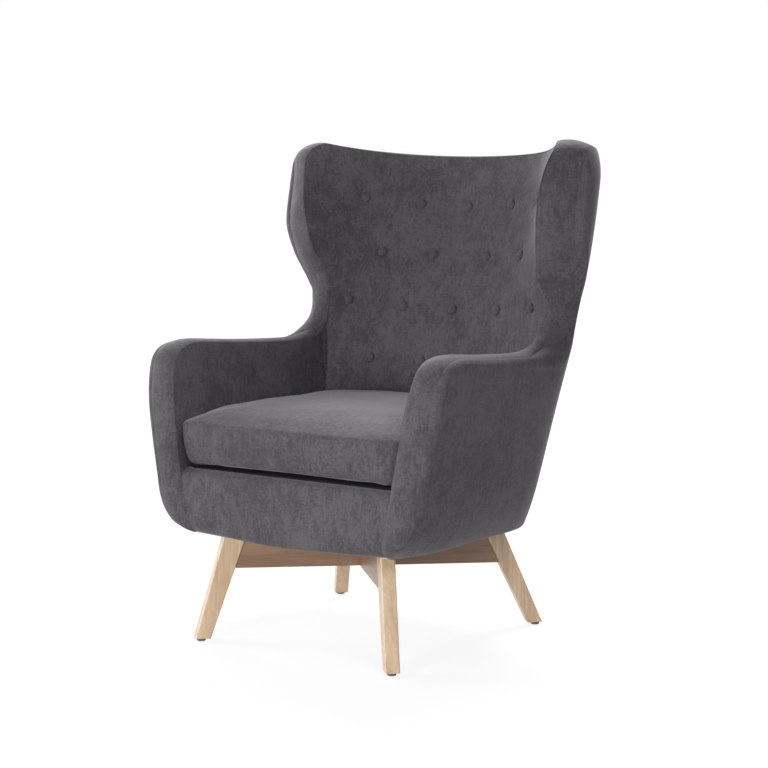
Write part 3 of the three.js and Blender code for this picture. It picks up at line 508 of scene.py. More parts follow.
class MeshKit:
    """Turns grids and rows of points into the closed meshes of pieces."""

    def __init__(self, form: BodyForm) -> None:
        """Keep the shape whose frame the points are in."""
        self.form = form

    def piece(self, name: str, points: Array, faces: Sequence, sharp: float = 50.0) -> bpy.types.Object:
        """A smooth mesh object from points in the measured frame.

        Args:
            name: The piece's name.
            points: Its corners.
            faces: Their indices, face by face.
            sharp: Edges that turn by more degrees than this are shaded sharp.

        Returns:
            The object.
        """
        mesh = bpy.data.meshes.new(name)
        mesh.from_pydata(self.form.settled(points).tolist(), [], [tuple(map(int, f)) for f in faces])
        mesh.validate()
        mesh.update()
        mesh.polygons.foreach_set("use_smooth", np.ones(len(mesh.polygons), bool))
        mesh.set_sharp_from_angle(angle=math.radians(sharp))
        made = bpy.data.objects.new(name, mesh)
        bpy.context.scene.collection.objects.link(made)
        return made

    def shell(
        self, name: str, grid: Array, normal: Array, thickness: float, taper: int = 0
    ) -> bpy.types.Object:
        """A closed piece from the grid of its face, with a back and a rim.

        Args:
            name: The piece's name.
            grid: Rows of points of its face.
            normal: The face's outward normals, point for point.
            thickness: From the face to the back.
            taper: Over how many points from its rim it grows to its thickness.

        Returns:
            The object.
        """
        rows, columns = grid.shape[:2]
        depth = np.full((rows, columns), thickness)
        if taper:
            row, column = np.arange(rows)[:, None], np.arange(columns)[None]
            rim_gap = np.minimum(np.minimum(row, rows - 1 - row), np.minimum(column, columns - 1 - column))
            depth *= 0.06 + 0.94 * smooth_step(rim_gap, 0, taper)
        back = grid - depth[..., None] * normal
        points = np.concatenate([grid.reshape(-1, 3), back.reshape(-1, 3)])
        index = np.arange(rows * columns).reshape(rows, columns)
        quads = np.stack(
            [index[:-1, :-1], index[:-1, 1:], index[1:, 1:], index[1:, :-1]], axis=-1
        ).reshape(-1, 4)
        rim = np.concatenate([index[0, :-1], index[:-1, -1], index[-1, :0:-1], index[:0:-1, 0]])
        after = np.roll(rim, -1)
        size = rows * columns
        wall = np.stack([after, rim, rim + size, after + size], axis=-1)
        faces = np.concatenate([quads, quads[:, ::-1] + size, wall])
        if (grid_normals(grid) * normal).sum() < 0:
            faces = faces[:, ::-1]
        return self.piece(name, points, faces)


@dataclass
class Padding:
    """How a padded face settles into its seams: deepest in them, and full a little way off."""

    depth: float = 0.0014
    reach: float = 0.0045

    faint_depth: float = 0.0005
    faint_reach: float = 0.0026

    def settle(self, grid: Array, normal: Array, deep: Sequence[Array], faint: Sequence[Array]) -> Array:
        """Sink a face into the seams round it.

        Args:
            grid: The face.
            normal: Its outward normals.
            deep: Seams that draw the padding in.
            faint: Seams that show as little more than a line.

        Returns:
            The face sunk in.
        """
        sink = np.zeros(grid.shape[:2])
        kinds = ((deep, self.depth, self.reach), (faint, self.faint_depth, self.faint_reach))
        for lines, depth, reach in kinds:
            for line in lines:
                near = distance_to(grid, line)
                sink = np.maximum(sink, depth * np.exp(-((near / reach) ** 1.4)))
        return grid - sink[..., None] * normal


def mirrored(grid: Array) -> Array:
    """The same grid on the left of the chair."""
    return grid * np.array([-1.0, 1.0, 1.0])


class Ripples:
    """Slow unevenness of stretched cloth, the same each time for the same seed."""

    def __init__(self, seed: int, waves: int = 14, shortest: float = 0.05, longest: float = 0.22) -> None:
        """Draw the directions, lengths and phases of the waves."""
        draw = np.random.default_rng(seed)
        direction = draw.normal(size=(waves, 3))
        direction /= np.linalg.norm(direction, axis=1, keepdims=True)
        length = draw.uniform(shortest, longest, waves)
        self.turns = direction * (2 * math.pi / length)[:, None]
        self.phases = draw.uniform(0, 2 * math.pi, waves)
        self.share = length / length.sum()

    def at(self, grid: Array) -> Array:
        """Height of the unevenness at each point, from about -1 to 1."""
        flat = grid.reshape(-1, 3)
        height = (np.sin(flat @ self.turns.T + self.phases) * self.share).sum(axis=1) * 2
        return height.reshape(grid.shape[:-1])


@dataclass(frozen=True)
class Tufts:
    """The buttons of the back, and how deep they pull the cloth in."""

    form: BodyForm
    pull: float = 0.0085
    pit: float = 0.0155
    spread: float = 0.034
    pucker: float = 0.0007
    rows: tuple = (
        (0.821, 0.055, (-0.68, -0.357, 0.0, 0.357, 0.68)),
        (0.686, 0.033, (-0.545, -0.212, 0.212, 0.545)),
        (0.540, 0.039, (-0.72, -0.372, 0.0, 0.372, 0.72)),
        (0.396, 0.012, (-0.565, -0.196, 0.196, 0.565)),
    )

    def places(self) -> tuple[Array, Array]:
        """Where the buttons stand on the inner back, and which way they face."""
        form = self.form
        centres, facings = [], []
        for height, lift, across in self.rows:
            for share in across:
                x = share * form.sill_half_width
                z = form.underside + (height + lift * share**2) * (form.back_height - form.underside)
                width, _, _ = form.section(np.array(z))
                centre, facing = inner_face(form, np.array([x / width]), np.array([z]))
                centres.append(centre[0])
                facings.append(facing[0])
        return np.array(centres), np.array(facings)

    def sink(self, grid: Array) -> Array:
        """How deep the cloth lies below its smooth form, with its puckers, at each point."""
        centres, facings = self.places()
        total = np.zeros(grid.shape[:2])
        for number, (centre, facing) in enumerate(zip(centres, facings)):
            gap = grid - centre
            across = np.cross([0.0, 0.0, 1.0], facing)
            across /= np.linalg.norm(across)
            up = np.cross(facing, across)
            far = np.linalg.norm(gap, axis=2)
            turn = np.arctan2(gap @ up, gap @ across)
            total += 0.72 * self.pull * np.exp(-((far / self.pit) ** 2))
            total += 0.28 * self.pull * np.exp(-((far / self.spread) ** 1.5))
            folds = np.cos(7 * turn + 2.1 * number) + 0.7 * np.cos(11 * turn + 1.3 * number)
            window = np.exp(-(((far - 0.017) / 0.011) ** 2))
            total += self.pucker * folds * window
        return total


def inner_face(form: BodyForm, share: Array, z: Array) -> tuple[Array, Array]:
    """Points of the inner back and its normals towards the seat, at places across it."""
    step = 1e-4
    point = form.inner_point(share, z)
    along = form.inner_point(share + step, z) - form.inner_point(share - step, z)
    up = form.inner_point(share, z + step) - form.inner_point(share, z - step)
    normal = np.cross(along, up)
    return point, normal / np.linalg.norm(normal, axis=-1, keepdims=True)


def arm_face(form: BodyForm, y: Array, z: Array) -> tuple[Array, Array]:
    """Points of the right arm's inner face and its normals towards the seat."""
    step = 1e-4
    point = np.stack([form.inner_half(y, z), y, z], axis=-1)
    by_y = (form.inner_half(y + step, z) - form.inner_half(y - step, z)) / (2 * step)
    by_z = (form.inner_half(y, z + step) - form.inner_half(y, z - step)) / (2 * step)
    normal = np.stack([-np.ones_like(y), by_y, by_z], axis=-1)
    return point, normal / np.linalg.norm(normal, axis=-1, keepdims=True)


@dataclass
class Bands:
    """The padded band on the front of the arms and round the wings and the back's top."""

    kit: MeshKit
    seams: Seams
    padding: Padding
    columns: int = 30
    crown: float = 0.0055
    top_crown: float = 0.0065
    thickness: float = 0.012
    fold_depth: float = 0.0026
    fold_reach: float = 0.006
    wrinkle: float = 0.0014
    crease: float = 0.0022
    crease_width: float = 0.0036
    creases: tuple[tuple[float, float], ...] = (
        (0.655, 0.10), (0.676, -0.06), (0.700, 0.05), (0.722, 0.12), (0.739, -0.04), (0.768, 0.06),
        (0.792, -0.08), (0.826, 0.04),
    )

    def strip(self, outer: Array, inner: Array) -> tuple[Array, Array]:
        """The band's face between its seams, and its outward normals."""
        normal = band_normals(outer, inner)
        share = (1 - np.cos(math.pi * np.linspace(0, 1, self.columns))) / 2
        flat = outer[:, None] + share[None, :, None] * (inner - outer)[:, None]
        width = np.linalg.norm(inner - outer, axis=1)
        top = smooth_step(inner[:, 2], 0.95, 1.0)
        crown = (self.crown + (self.top_crown - self.crown) * top) * np.minimum(1, width / 0.045)
        dome = (1 - np.abs(2 * share - 1) ** 2.0)[None, :] * crown[:, None]
        grid = flat + dome[..., None] * normal[:, None]
        facing = grid_normals(grid)
        if (facing * normal[:, None]).sum() < 0:
            facing = -facing
        return grid, facing

    def folded(self, grid: Array, normal: Array, folds: Sequence[Array], phase: float) -> Array:
        """The strip with its ends tucked into the folds at the waist and small creases beside them."""
        for fold in folds:
            near = distance_to(grid, fold)
            tuck = self.fold_depth * np.exp(-((near / self.fold_reach) ** 1.3))
            wave = np.cos(near * 2 * math.pi / 0.021 + phase) * np.exp(-near / 0.022)
            grid = grid - (tuck + self.wrinkle * wave * (1 - np.exp(-near / 0.006)))[..., None] * normal
        return grid

    def creased(self, grid: Array, normal: Array) -> Array:
        """The strip with the fine creases that cross it where the wing's edge bends at the waist."""
        share = np.linspace(0, 1, grid.shape[1])[None]
        total = np.zeros(grid.shape[:2])
        for number, (height, lean) in enumerate(self.creases):
            middle = 0.35 + 0.3 * ((number * 0.618) % 1)
            run = np.exp(-(((share - middle) / 0.34) ** 4))
            gap = grid[..., 2] - height - lean * 0.05 * (share - 0.5)
            near = grid[..., 1] < 0.16
            total += run * near * np.exp(-((gap / self.crease_width) ** 2)) * (0.6 + 0.4 * math.sin(5 * number))
        return grid - self.crease * total[..., None] * normal

    def build(self) -> dict[str, bpy.types.Object]:
        """The arms' bands and the head's, by name."""
        outer, inner = self.seams.lines()
        fold = self.seams.fold_index(inner)
        made = {}
        fold_line = np.linspace(outer[fold], inner[fold], 12)
        for side, name in ((1, "arm_band_right"), (-1, "arm_band_left")):
            grid, normal = self.strip(outer[: fold + 1], inner[: fold + 1])
            face = self.padding.settle(grid, normal, [inner], [outer])
            face = self.folded(face, normal, [fold_line], 1.2)
            if side < 0:
                face, normal = mirrored(face), mirrored(normal)
            made[name] = self.kit.shell(f"{name}_cloth", face, normal, self.thickness)
        whole_outer = np.concatenate([outer[fold:], mirrored(outer[fold:-1])[::-1]])
        whole_inner = np.concatenate([inner[fold:], mirrored(inner[fold:-1])[::-1]])
        grid, normal = self.strip(whole_outer, whole_inner)
        face = self.padding.settle(grid, normal, [whole_inner], [whole_outer])
        face = self.creased(self.folded(face, normal, [fold_line, mirrored(fold_line)], 0.3), normal)
        made["head_band"] = self.kit.shell("head_band_cloth", face, normal, self.thickness)
        return made


@dataclass
class OuterCovers:
    """The covers on the outside of the arms and wings, and on the outside of the back."""

    kit: MeshKit
    seams: Seams
    padding: Padding
    rear_seam: float = 0.2165
    arc: float = 0.48
    middle_height: float = 0.45
    rounding_rows: int = 9
    thickness: float = 0.006
    hem: float = 0.014

    def inset(self, place: Array, z: Array) -> Array:
        """How far the outside is drawn in at a way round it and a height."""
        form = self.kit.form
        return form.draw_in(form.unrounded_depth(place, z), z)

    def rear_place(self, z: Array) -> Array:
        """Way round the outside of the seam between the side and the back."""
        low, high = np.zeros_like(z), np.ones_like(z)
        for _ in range(40):
            middle = (low + high) / 2
            x = self.kit.form.outer_point(middle, z, self.inset(middle, z))[..., 0]
            outside = x > self.rear_seam
            low, high = np.where(outside, middle, low), np.where(outside, high, middle)
        return (low + high) / 2

    def way(self, place: Array, z: Array) -> Array:
        """Length round the outside, from the seam at the rear, negative towards the front."""
        ahead = np.where(place < 0, place, place * self.arc)
        return ahead - self.rear_place(z) * self.arc

    def place_of(self, way: Array, z: Array) -> Array:
        """Way round the outside as `outer_point` reads it, from a length from the rear seam."""
        ahead = way + self.rear_place(z) * self.arc
        return np.where(ahead < 0, ahead, ahead / self.arc)

    def edge(self) -> tuple[Array, Array, Array]:
        """The side's edge from the rear's foot round the front and the top to the rear's top.

        Returns:
            Its points as (way, height), how much of it is seam, and the outer seam's points that it follows.
        """
        form, seams = self.kit.form, self.seams
        outer, _ = seams.lines(0.007)
        kept = outer[: int(np.flatnonzero(outer[:, 0] > self.rear_seam + 0.001)[-1]) + 1]
        z = np.clip(kept[:, 2], form.underside, form.back_height)
        place = self.match_place(kept, z)
        seam = np.stack([self.way(place, z), z], axis=1)
        under = np.stack(
            [np.linspace(-0.0005, seam[0, 0], 90), np.full(90, form.underside)], axis=1
        )[:-1]
        points = np.concatenate([under, seam])
        share = np.concatenate([smooth_step(under[:, 0], seam[0, 0] + 0.05, seam[0, 0]) , np.ones(len(seam))])
        share = np.clip(share, 0.03, 1)
        return points, share, kept

    def match_place(self, points: Array, z: Array) -> Array:
        """Way round the outside of points that lie a little inside its unrounded face."""
        form = self.kit.form
        x, y = points[:, 0], points[:, 1]
        behind = y - form.rear_centre(z)
        place = np.where(behind < 0, behind, 0.3)
        turn = np.arctan2(np.maximum(behind, 0) / form.rear_depth, x / form.side(z)) / (math.pi / 2)
        place = np.where(behind < 0, behind, turn)
        for _ in range(25):
            inset = self.seams.outer_inset(form.unrounded_depth(place, z), z)
            found = form.outer_point(place, z, inset)
            past = y - found[:, 1]
            slope = np.where(place < 0, 1.0, form.rear_depth * np.cos(np.clip(place, 0, 1) * math.pi / 2) * math.pi / 2)
            by_x = np.where(place < 0, 0.0, -form.side(z) * np.sin(np.clip(place, 0, 1) * math.pi / 2) * math.pi / 2)
            gain = (past * slope + (x - found[:, 0]) * by_x) / (slope**2 + by_x**2)
            place = np.clip(place + gain, -1, 1)
        return place

    def rear_heights(self, points: Array, flat_edge: Array) -> Array:
        """Heights on the rear seam at which the grid's lines to the edge start, rising along it."""
        start = int(np.flatnonzero(points[:, 1] > self.kit.form.underside + 0.001)[0])
        corner = int(np.flatnonzero(points[:, 1] > 0.60)[0])
        waist = start + int(np.argmax(points[start:, 0] - 9.0 * (points[start:, 1] > 0.72)))
        top = int(np.flatnonzero(points[:, 1] > 0.99)[0])
        marks = [0, start, corner, waist, top, len(points) - 1]
        heights = [flat_edge[0, 1], 0.262, 0.335, 0.455, 0.800, flat_edge[-1, 1]]
        spread = np.interp(np.arange(len(points)), marks, heights)
        return relax(spread[:, None], 40)[:, 0]

    def side_grid(self) -> Array:
        """The right side's face, in rows from the rear seam to its edge."""
        form, seams = self.kit.form, self.seams
        points, share, kept = self.edge()
        run = np.gradient(points, axis=0)
        run /= np.linalg.norm(run, axis=1, keepdims=True)
        inward = np.stack([-run[:, 1], run[:, 0]], axis=1)
        middle = np.array([-0.25, self.middle_height])
        if ((middle - points) * inward).sum() < 0:
            inward = -inward
        inward = relax(inward, 14)
        inward /= np.linalg.norm(inward, axis=1, keepdims=True)
        depth = form.unrounded_depth(self.place_of(points[:, 0], points[:, 1]), points[:, 1])
        waist = seams.waist_pinch * seams.waist_share(depth, points[:, 1])
        roll = (seams.side_round + 0.3 * waist) * share
        wrap = seams.wrap(depth, points[:, 1]) * share
        flat_edge = points + inward * roll[:, None]
        flat_edge[:, 0] = np.minimum(flat_edge[:, 0], -0.0004)
        rear = np.stack([np.zeros(len(points)), self.rear_heights(points, flat_edge)], axis=1)
        rows = []
        for t in (1 - np.cos(math.pi * np.linspace(0, 1, 110))) / 2:
            flat = rear + t * (flat_edge - rear)
            rows.append((flat, np.zeros(len(points))))
        for turn in np.linspace(0, math.pi / 2, self.rounding_rows)[1:]:
            flat = points + inward * (roll * (1 - math.sin(turn)))[:, None]
            flat[:, 0] = np.minimum(flat[:, 0], -0.0003)
            rows.append((flat, wrap * (1 - math.cos(turn))))
        grid = []
        for flat, rolled in rows:
            z = np.clip(flat[:, 1], form.underside, form.back_height)
            place = self.place_of(flat[:, 0], z)
            drawn = self.inset(place, z)
            inset = (rolled**3 + drawn**3) ** (1 / 3) + form.narrowing(form.unrounded_depth(place, z), z)
            inset -= form.fullness(place, z) * np.clip(1 - rolled / 0.012, 0, 1) ** 2
            point = form.outer_point(place, z, inset)
            room = form.inner_half(point[:, 1], z) + form.least_band - 0.001
            near_arm = form.inner_half(point[:, 1], z) > 0.02
            point[:, 0] = np.where(near_arm, np.maximum(point[:, 0], np.minimum(room, point[:, 0] + 0.02)), point[:, 0])
            grid.append(point)
        grid = self.meeting(np.array(grid), kept)
        turned = np.column_stack([np.zeros(len(points)), inward]) * 0.0035
        tuck = share[:, None] * turned + (1 - share)[:, None] * np.array([-self.hem, 0.0, 0.0])
        return np.concatenate([grid, [grid[-1] + tuck * 0.5, grid[-1] + tuck]])

    def meeting(self, grid: Array, line: Array) -> Array:
        """A face with the end of its last row on a line, and its rounding carried along."""
        share = 1 - np.cos(np.linspace(0, math.pi / 2, self.rounding_rows)[1:])
        move = line - grid[-1, -len(line) :]
        grid[-len(share) :, -len(line) :] += share[:, None, None] * move
        return grid

    def build(self) -> dict[str, bpy.types.Object]:
        """The covers of both sides and of the back, by name."""
        made = {}
        grid = self.side_grid()
        normal = grid_normals(grid)
        normal[-3:] = grid_normals(grid[:-2])[-1]
        if normal[..., 0].sum() < 0:
            normal = -normal
        turned = (normal[: -self.rounding_rows - 2, :, 0] < 0)[..., None]
        normal[: -self.rounding_rows - 2] *= np.where(turned, -1.0, 1.0)
        low = grid[..., 2] < self.kit.form.underside + 0.002
        normal[..., 2] = np.where(low, -np.abs(normal[..., 2]), normal[..., 2])
        outer, _ = self.seams.lines()
        rear_line = grid[0]
        face = self.padding.settle(grid, normal, [], [outer, rear_line])
        made["outer_side_cover_right"] = self.kit.shell(
            "outer_side_cover_right_cloth", face, normal, self.thickness
        )
        made["outer_side_cover_left"] = self.kit.shell(
            "outer_side_cover_left_cloth", mirrored(face), mirrored(normal), self.thickness
        )
        made["outer_back_cover"] = self.back_cover(outer, rear_line)
        return made

    def back_cover(self, outer: Array, rear_line: Array) -> bpy.types.Object:
        """The cover of the outside of the back."""
        form, seams = self.kit.form, self.seams
        across = np.linspace(-1, 1, 91)
        turn = np.zeros(91)
        rows = []
        steps = (1 - np.cos(math.pi * np.linspace(0, 1, 110))) / 2
        top = np.zeros(91)
        place = np.full(91, 0.8)
        for _ in range(6):
            z = np.full(91, form.back_height - seams.shoulder_drop) - top
            place = 1 - np.abs(across) * (1 - self.rear_place(z))
            wrap = seams.wrap(form.unrounded_depth(place, z), z)
            point = form.outer_point(place, z, (wrap**3 + self.inset(place, z) ** 3) ** (1 / 3))
            top = form.dip(point[:, 0], point[:, 1])
        edge_z = form.back_height - seams.shoulder_drop - top
        for step in steps:
            z = form.underside + (edge_z - seams.side_round - form.underside) * step
            rows.append((z, 0.0))
        for angle in np.linspace(0, math.pi / 2, self.rounding_rows)[1:]:
            rows.append((edge_z - seams.side_round * (1 - math.sin(angle)), wrap * (1 - math.cos(angle))))
        grid = []
        for z, rolled in rows:
            place = 1 - np.abs(across) * (1 - self.rear_place(z))
            inset = (rolled**3 + self.inset(place, z) ** 3) ** (1 / 3) - form.fullness(place, z)
            point = form.outer_point(place, z, inset)
            point[:, 0] *= np.sign(across)
            grid.append(point)
        half = outer[outer[:, 0] < self.rear_seam + 0.01]
        line = np.concatenate([mirrored(half), half[::-1]])
        x = grid[-1][:, 0]
        order = np.argsort(line[:, 0])
        seam = np.stack([x] + [np.interp(x, line[order, 0], line[order, axis]) for axis in (1, 2)], axis=1)
        grid = self.meeting(np.array(grid), seam)
        under = grid[0].copy()
        under[:, 1] -= self.hem
        grid = np.concatenate([[under], grid])
        ends = [grid[:, :1] + [-0.004, -0.003, 0.0], grid[:, -1:] + [0.004, -0.003, 0.0]]
        grid = np.concatenate([ends[0], grid, ends[1]], axis=1)
        normal = grid_normals(grid)
        if normal[60, 45, 1] < 0:
            normal = -normal
        lines = [outer, mirrored(outer), rear_line, mirrored(rear_line)]
        face = self.padding.settle(grid, normal, [], lines)
        return self.kit.shell("outer_back_cover_cloth", face, normal, self.thickness)


@dataclass
class InnerPads:
    """The tufted inner back, the arms' inner pads and the panel under the cushion."""

    kit: MeshKit
    seams: Seams
    padding: Padding
    tufts: Tufts
    pad_bottom: float = 0.3413
    hem: float = 0.014
    thickness: float = 0.018

    def back_edge(self) -> tuple[Array, int]:
        """The right edge of the back pad as (place across, height), and its corner's index."""
        form = self.kit.form
        _, inner = self.seams.lines()
        start = int(np.flatnonzero((inner[:, 1] > form.crease_y) & (inner[:, 2] > 0.59))[0])
        low = np.linspace(self.pad_bottom, inner[start, 2], 70)[:-1]
        crease = np.stack([form.inner_share(np.full(69, form.crease_y), low), low], axis=1)
        seam = inner[start:]
        head = np.stack([form.inner_share(seam[:, 1], seam[:, 2]), seam[:, 2]], axis=1)
        on_back = seam[:, 1] > form.inner_middle(seam[:, 2]) - form.section(seam[:, 2])[1]
        head[on_back, 0] = (seam[:, 0] / form.section(seam[:, 2])[0])[on_back]
        edge = np.concatenate([crease, head])
        run = np.gradient(edge, axis=0)
        corner = int(np.flatnonzero((edge[:, 1] > 0.95) & (run[:, 1] < -0.35 * run[:, 0]))[0])
        return edge, corner

    def back(self) -> bpy.types.Object:
        """The tufted inner back."""
        form = self.kit.form
        edge, corner = self.back_edge()
        rows, columns = 176, 191
        right = respace(edge[: corner + 1], rows)
        half_top = edge[corner:]
        flip = np.array([-1.0, 1.0])
        top = respace(np.concatenate([half_top * flip, half_top[::-1][1:]]), columns)
        left = right * flip
        bottom = np.linspace(left[0], right[0], columns)
        plan = coons(bottom, top, left, right)
        grid, normal = inner_face(form, plan[..., 0], plan[..., 1])
        line, _ = inner_face(form, edge[:, 0], edge[:, 1])
        sunk = self.padding.settle(grid, normal, [line, mirrored(line)], [])
        ripples = Ripples(3, shortest=0.07, longest=0.20).at(grid) * 0.0010
        sunk += (ripples - self.tufts.sink(grid))[..., None] * normal
        return self.kit.shell("inner_back_pad_cloth", sunk, normal, self.thickness, taper=12)

    def arms(self) -> dict[str, bpy.types.Object]:
        """The inner pads of both arms, by name."""
        form = self.kit.form
        _, inner = self.seams.lines()
        last = int(np.flatnonzero((inner[:, 1] > form.crease_y) & (inner[:, 2] > 0.59))[0])
        first = int(np.flatnonzero(inner[:last, 2] > self.pad_bottom)[0])
        edge = inner[first : last + 1]
        pole = np.array([form.crease_y, self.pad_bottom])
        rays = (1 - np.cos(math.pi * np.linspace(0.06, 1, 90))) / 2
        plan = pole + rays[:, None, None] * (edge[None, :, 1:] - pole)
        grid, normal = arm_face(form, plan[..., 0], plan[..., 1])
        heights = np.linspace(self.pad_bottom, edge[-1, 2], 80)
        crease, _ = arm_face(form, np.full(80, form.crease_y), heights)
        face = self.padding.settle(grid, normal, [inner, crease], [])
        face += (Ripples(8).at(grid) * 0.0008)[..., None] * normal
        return {
            "inner_arm_pad_right": self.kit.shell(
                "inner_arm_pad_right_cloth", face, normal, self.thickness, taper=20
            ),
            "inner_arm_pad_left": self.kit.shell(
                "inner_arm_pad_left_cloth", mirrored(face), mirrored(normal), self.thickness, taper=20
            ),
        }

    def panel(self) -> bpy.types.Object:
        """The panel under the cushion, rolled back at its top and rounded at its bottom."""
        form = self.kit.form
        top, face_y, depth = 0.3650, form.arm_front + 0.0006, 0.032
        across = np.linspace(-1, 1, 121)
        low = 0.003 + 0.037 * np.abs(across) ** 1.5
        high = 0.025
        sections = []
        for turn in np.linspace(0, 1, 4)[:-1]:
            sections.append((face_y + low + self.hem * (1 - turn), np.full(121, form.underside)))
        for turn in np.linspace(0, math.pi / 2, 12):
            sections.append((face_y + low * (1 - math.sin(turn)), form.underside + low * (1 - math.cos(turn))))
        for share in np.linspace(0, 1, 30)[1:-1]:
            z = form.underside + low + (top - high - form.underside - low) * share
            sections.append((np.full(121, face_y), z))
        for turn in np.linspace(0, math.pi / 2, 10):
            y, z = face_y + high * (1 - math.cos(turn)), top - high * (1 - math.sin(turn))
            sections.append((np.full(121, y), np.full(121, z)))
        for share in (0.5, 1.0):
            sections.append((np.full(121, face_y + high + (depth - high) * share), np.full(121, top)))
        grid = []
        for y, z in sections:
            half = form.inner_half(np.full(121, form.arm_front), np.full(121, 1.0) * z) + 0.0003
            grid.append(np.stack([across * half, np.full(121, 1.0) * y, np.full(121, 1.0) * z], axis=1))
        grid = np.array(grid)
        normal = grid_normals(grid)
        if normal[30, 60, 1] > 0:
            normal = -normal
        _, inner = self.seams.lines()
        face = self.padding.settle(grid, normal, [], [inner, mirrored(inner)])
        face += (Ripples(21).at(grid) * 0.0007)[..., None] * normal
        return self.kit.shell("front_panel_cloth", face, normal, 0.006)


@dataclass(frozen=True)
class Slab:
    """A stuffed slab between the arms: its heights, its edges and its crown."""

    bottom: float
    seam: float
    crown: float
    front: float
    gap: float
    edge: float
    rise: float = 0.0
    rise_run: float = 0.150
    setback: float = 0.068
    corner: float = 0.020
    draw_in: float = 0.004
    dome_power: float = 5.0
    around: int = 300


class SlabMesh:
    """Builds the closed mesh of a slab that follows the arms and the inner back."""

    def __init__(self, kit: MeshKit, slab: Slab) -> None:
        """Keep what the slab is built from."""
        self.kit, self.slab = kit, slab

    def lift(self, y: Array) -> Array:
        """How much higher the top seam is at a depth than at the front."""
        slab = self.slab
        return slab.rise * smooth_step(y, slab.front, slab.front + slab.rise_run)

    def ring(self, z: float, inset: float, lifted: float) -> Array:
        """The slab's outline at a height, set in, as a closed ring of points.

        Args:
            z: Height at the front.
            inset: How far inside the full outline.
            lifted: Share of the seam's rise that the ring has.

        Returns:
            The ring, from the middle of the front round the right.
        """
        form, slab = self.kit.form, self.slab
        rear = float(form.inner_middle(np.array(z))) - slab.setback
        flank = np.linspace(slab.front + slab.corner, rear - slab.corner, 40)
        drawn = slab.draw_in * np.sin(math.pi * np.linspace(0, 1, 40)) ** 0.5
        heights = z + lifted * self.lift(flank)
        side = np.stack([form.inner_half(flank, heights) - drawn, flank], axis=1)
        corner_x = float(form.inner_half(np.array(slab.front), np.array(z)))
        turn = np.linspace(-math.pi / 2, 0, 9)[1:-1]
        middle = np.array([corner_x - slab.corner, slab.front + slab.corner])
        round_ = middle + slab.corner * np.stack([np.cos(turn), np.sin(turn)], axis=1)
        ahead = np.stack([np.linspace(0, corner_x - slab.corner, 20), np.full(20, slab.front)], axis=1)
        width, reach, power = form.section(np.array(z))
        shares = np.linspace(0.93, 0, 22)
        behind = np.stack(
            [shares * width, form.inner_middle(np.array(z)) - reach * shares**power], axis=1
        )
        half = np.concatenate([ahead, round_, side, behind])
        along = np.gradient(half, axis=0)
        along /= np.linalg.norm(along, axis=1, keepdims=True)
        outward = np.stack([along[:, 1], -along[:, 0]], axis=1)
        moved = half - outward * (inset + slab.gap)
        moved[: len(ahead), 1] = slab.front + inset
        moved[0, 0] = moved[-1, 0] = 0
        moved = respace(moved, self.slab.around // 2 + 1)
        ring = np.concatenate([moved, (moved * np.array([-1.0, 1.0]))[-2:0:-1]])
        height = z + lifted * self.lift(ring[:, 1])
        return np.column_stack([ring, height])

    def points(self) -> tuple[Array, list[Sequence[int]], list[Array]]:
        """The slab's points, faces and seam rings."""
        slab = self.slab
        low = slab.bottom + slab.edge
        seams = [self.ring(low, 0, 0), self.ring(slab.seam, 0, 1)]
        floor_ring = self.ring(slab.bottom, slab.edge, 0)
        centre = np.array([0.0, (slab.front + floor_ring[:, 1].max()) / 2, slab.bottom])
        rows = []
        for share in (0.05, 0.2, 0.35, 0.5, 0.65, 0.8, 0.92):
            rows.append(centre + share * (floor_ring - centre))
        for turn in np.linspace(0, math.pi / 2, 5):
            z = slab.bottom + slab.edge * (1 - math.cos(turn))
            rows.append(self.ring(z, slab.edge * (1 - math.sin(turn)), 0))
        for share in np.linspace(0, 1, 24)[1:-1]:
            z = low + (slab.seam - low) * share
            bulge = -0.0035 * (1 - abs(2 * share - 1) ** 2.2)
            rows.append(self.ring(z, bulge, share))
        top_ring = seams[1]
        peak = np.array([0.0, (slab.front + top_ring[:, 1].max() - 0.03) / 2, 0.0])
        for share in 1 - (1 - np.cos(np.linspace(0, math.pi / 2, 42))) * 0.97:
            row = peak + share * (top_ring - peak)
            row[:, 2] = top_ring[:, 2] + (slab.crown - top_ring[:, 2]) * (1 - share**slab.dome_power)
            rows.append(row)
        size = len(rows[0])
        faces: list[Sequence[int]] = []
        for row in range(len(rows) - 1):
            for column in range(size):
                after = (column + 1) % size
                faces.append(
                    (row * size + column, row * size + after, (row + 1) * size + after, (row + 1) * size + column)
                )
        points = np.concatenate(rows + [centre[None], rows[-1].mean(axis=0, keepdims=True)])
        last = len(rows) * size
        for column in range(size):
            after = (column + 1) % size
            faces.append((last, after, column))
            faces.append((last + 1, (len(rows) - 1) * size + column, (len(rows) - 1) * size + after))
        return points, faces, seams

    def build(self, name: str) -> tuple[bpy.types.Object, list[Array]]:
        """The slab as a piece, and its seam rings in the row's frame."""
        points, faces, seams = self.points()
        made = self.kit.piece(name, points, faces)
        return made, [self.kit.form.settled(ring) for ring in seams]


def read_points(piece: bpy.types.Object) -> Array:
    """The places of a piece's points."""
    flat = np.empty(3 * len(piece.data.vertices))
    piece.data.vertices.foreach_get("co", flat)
    return flat.reshape(-1, 3)


def write_points(piece: bpy.types.Object, points: Array) -> None:
    """Move a piece's points."""
    piece.data.vertices.foreach_set("co", points.ravel())
    piece.data.update()


def read_normals(piece: bpy.types.Object) -> Array:
    """The normals of a piece's points."""
    flat = np.empty(3 * len(piece.data.vertices))
    piece.data.vertices.foreach_get("normal", flat)
    return flat.reshape(-1, 3)


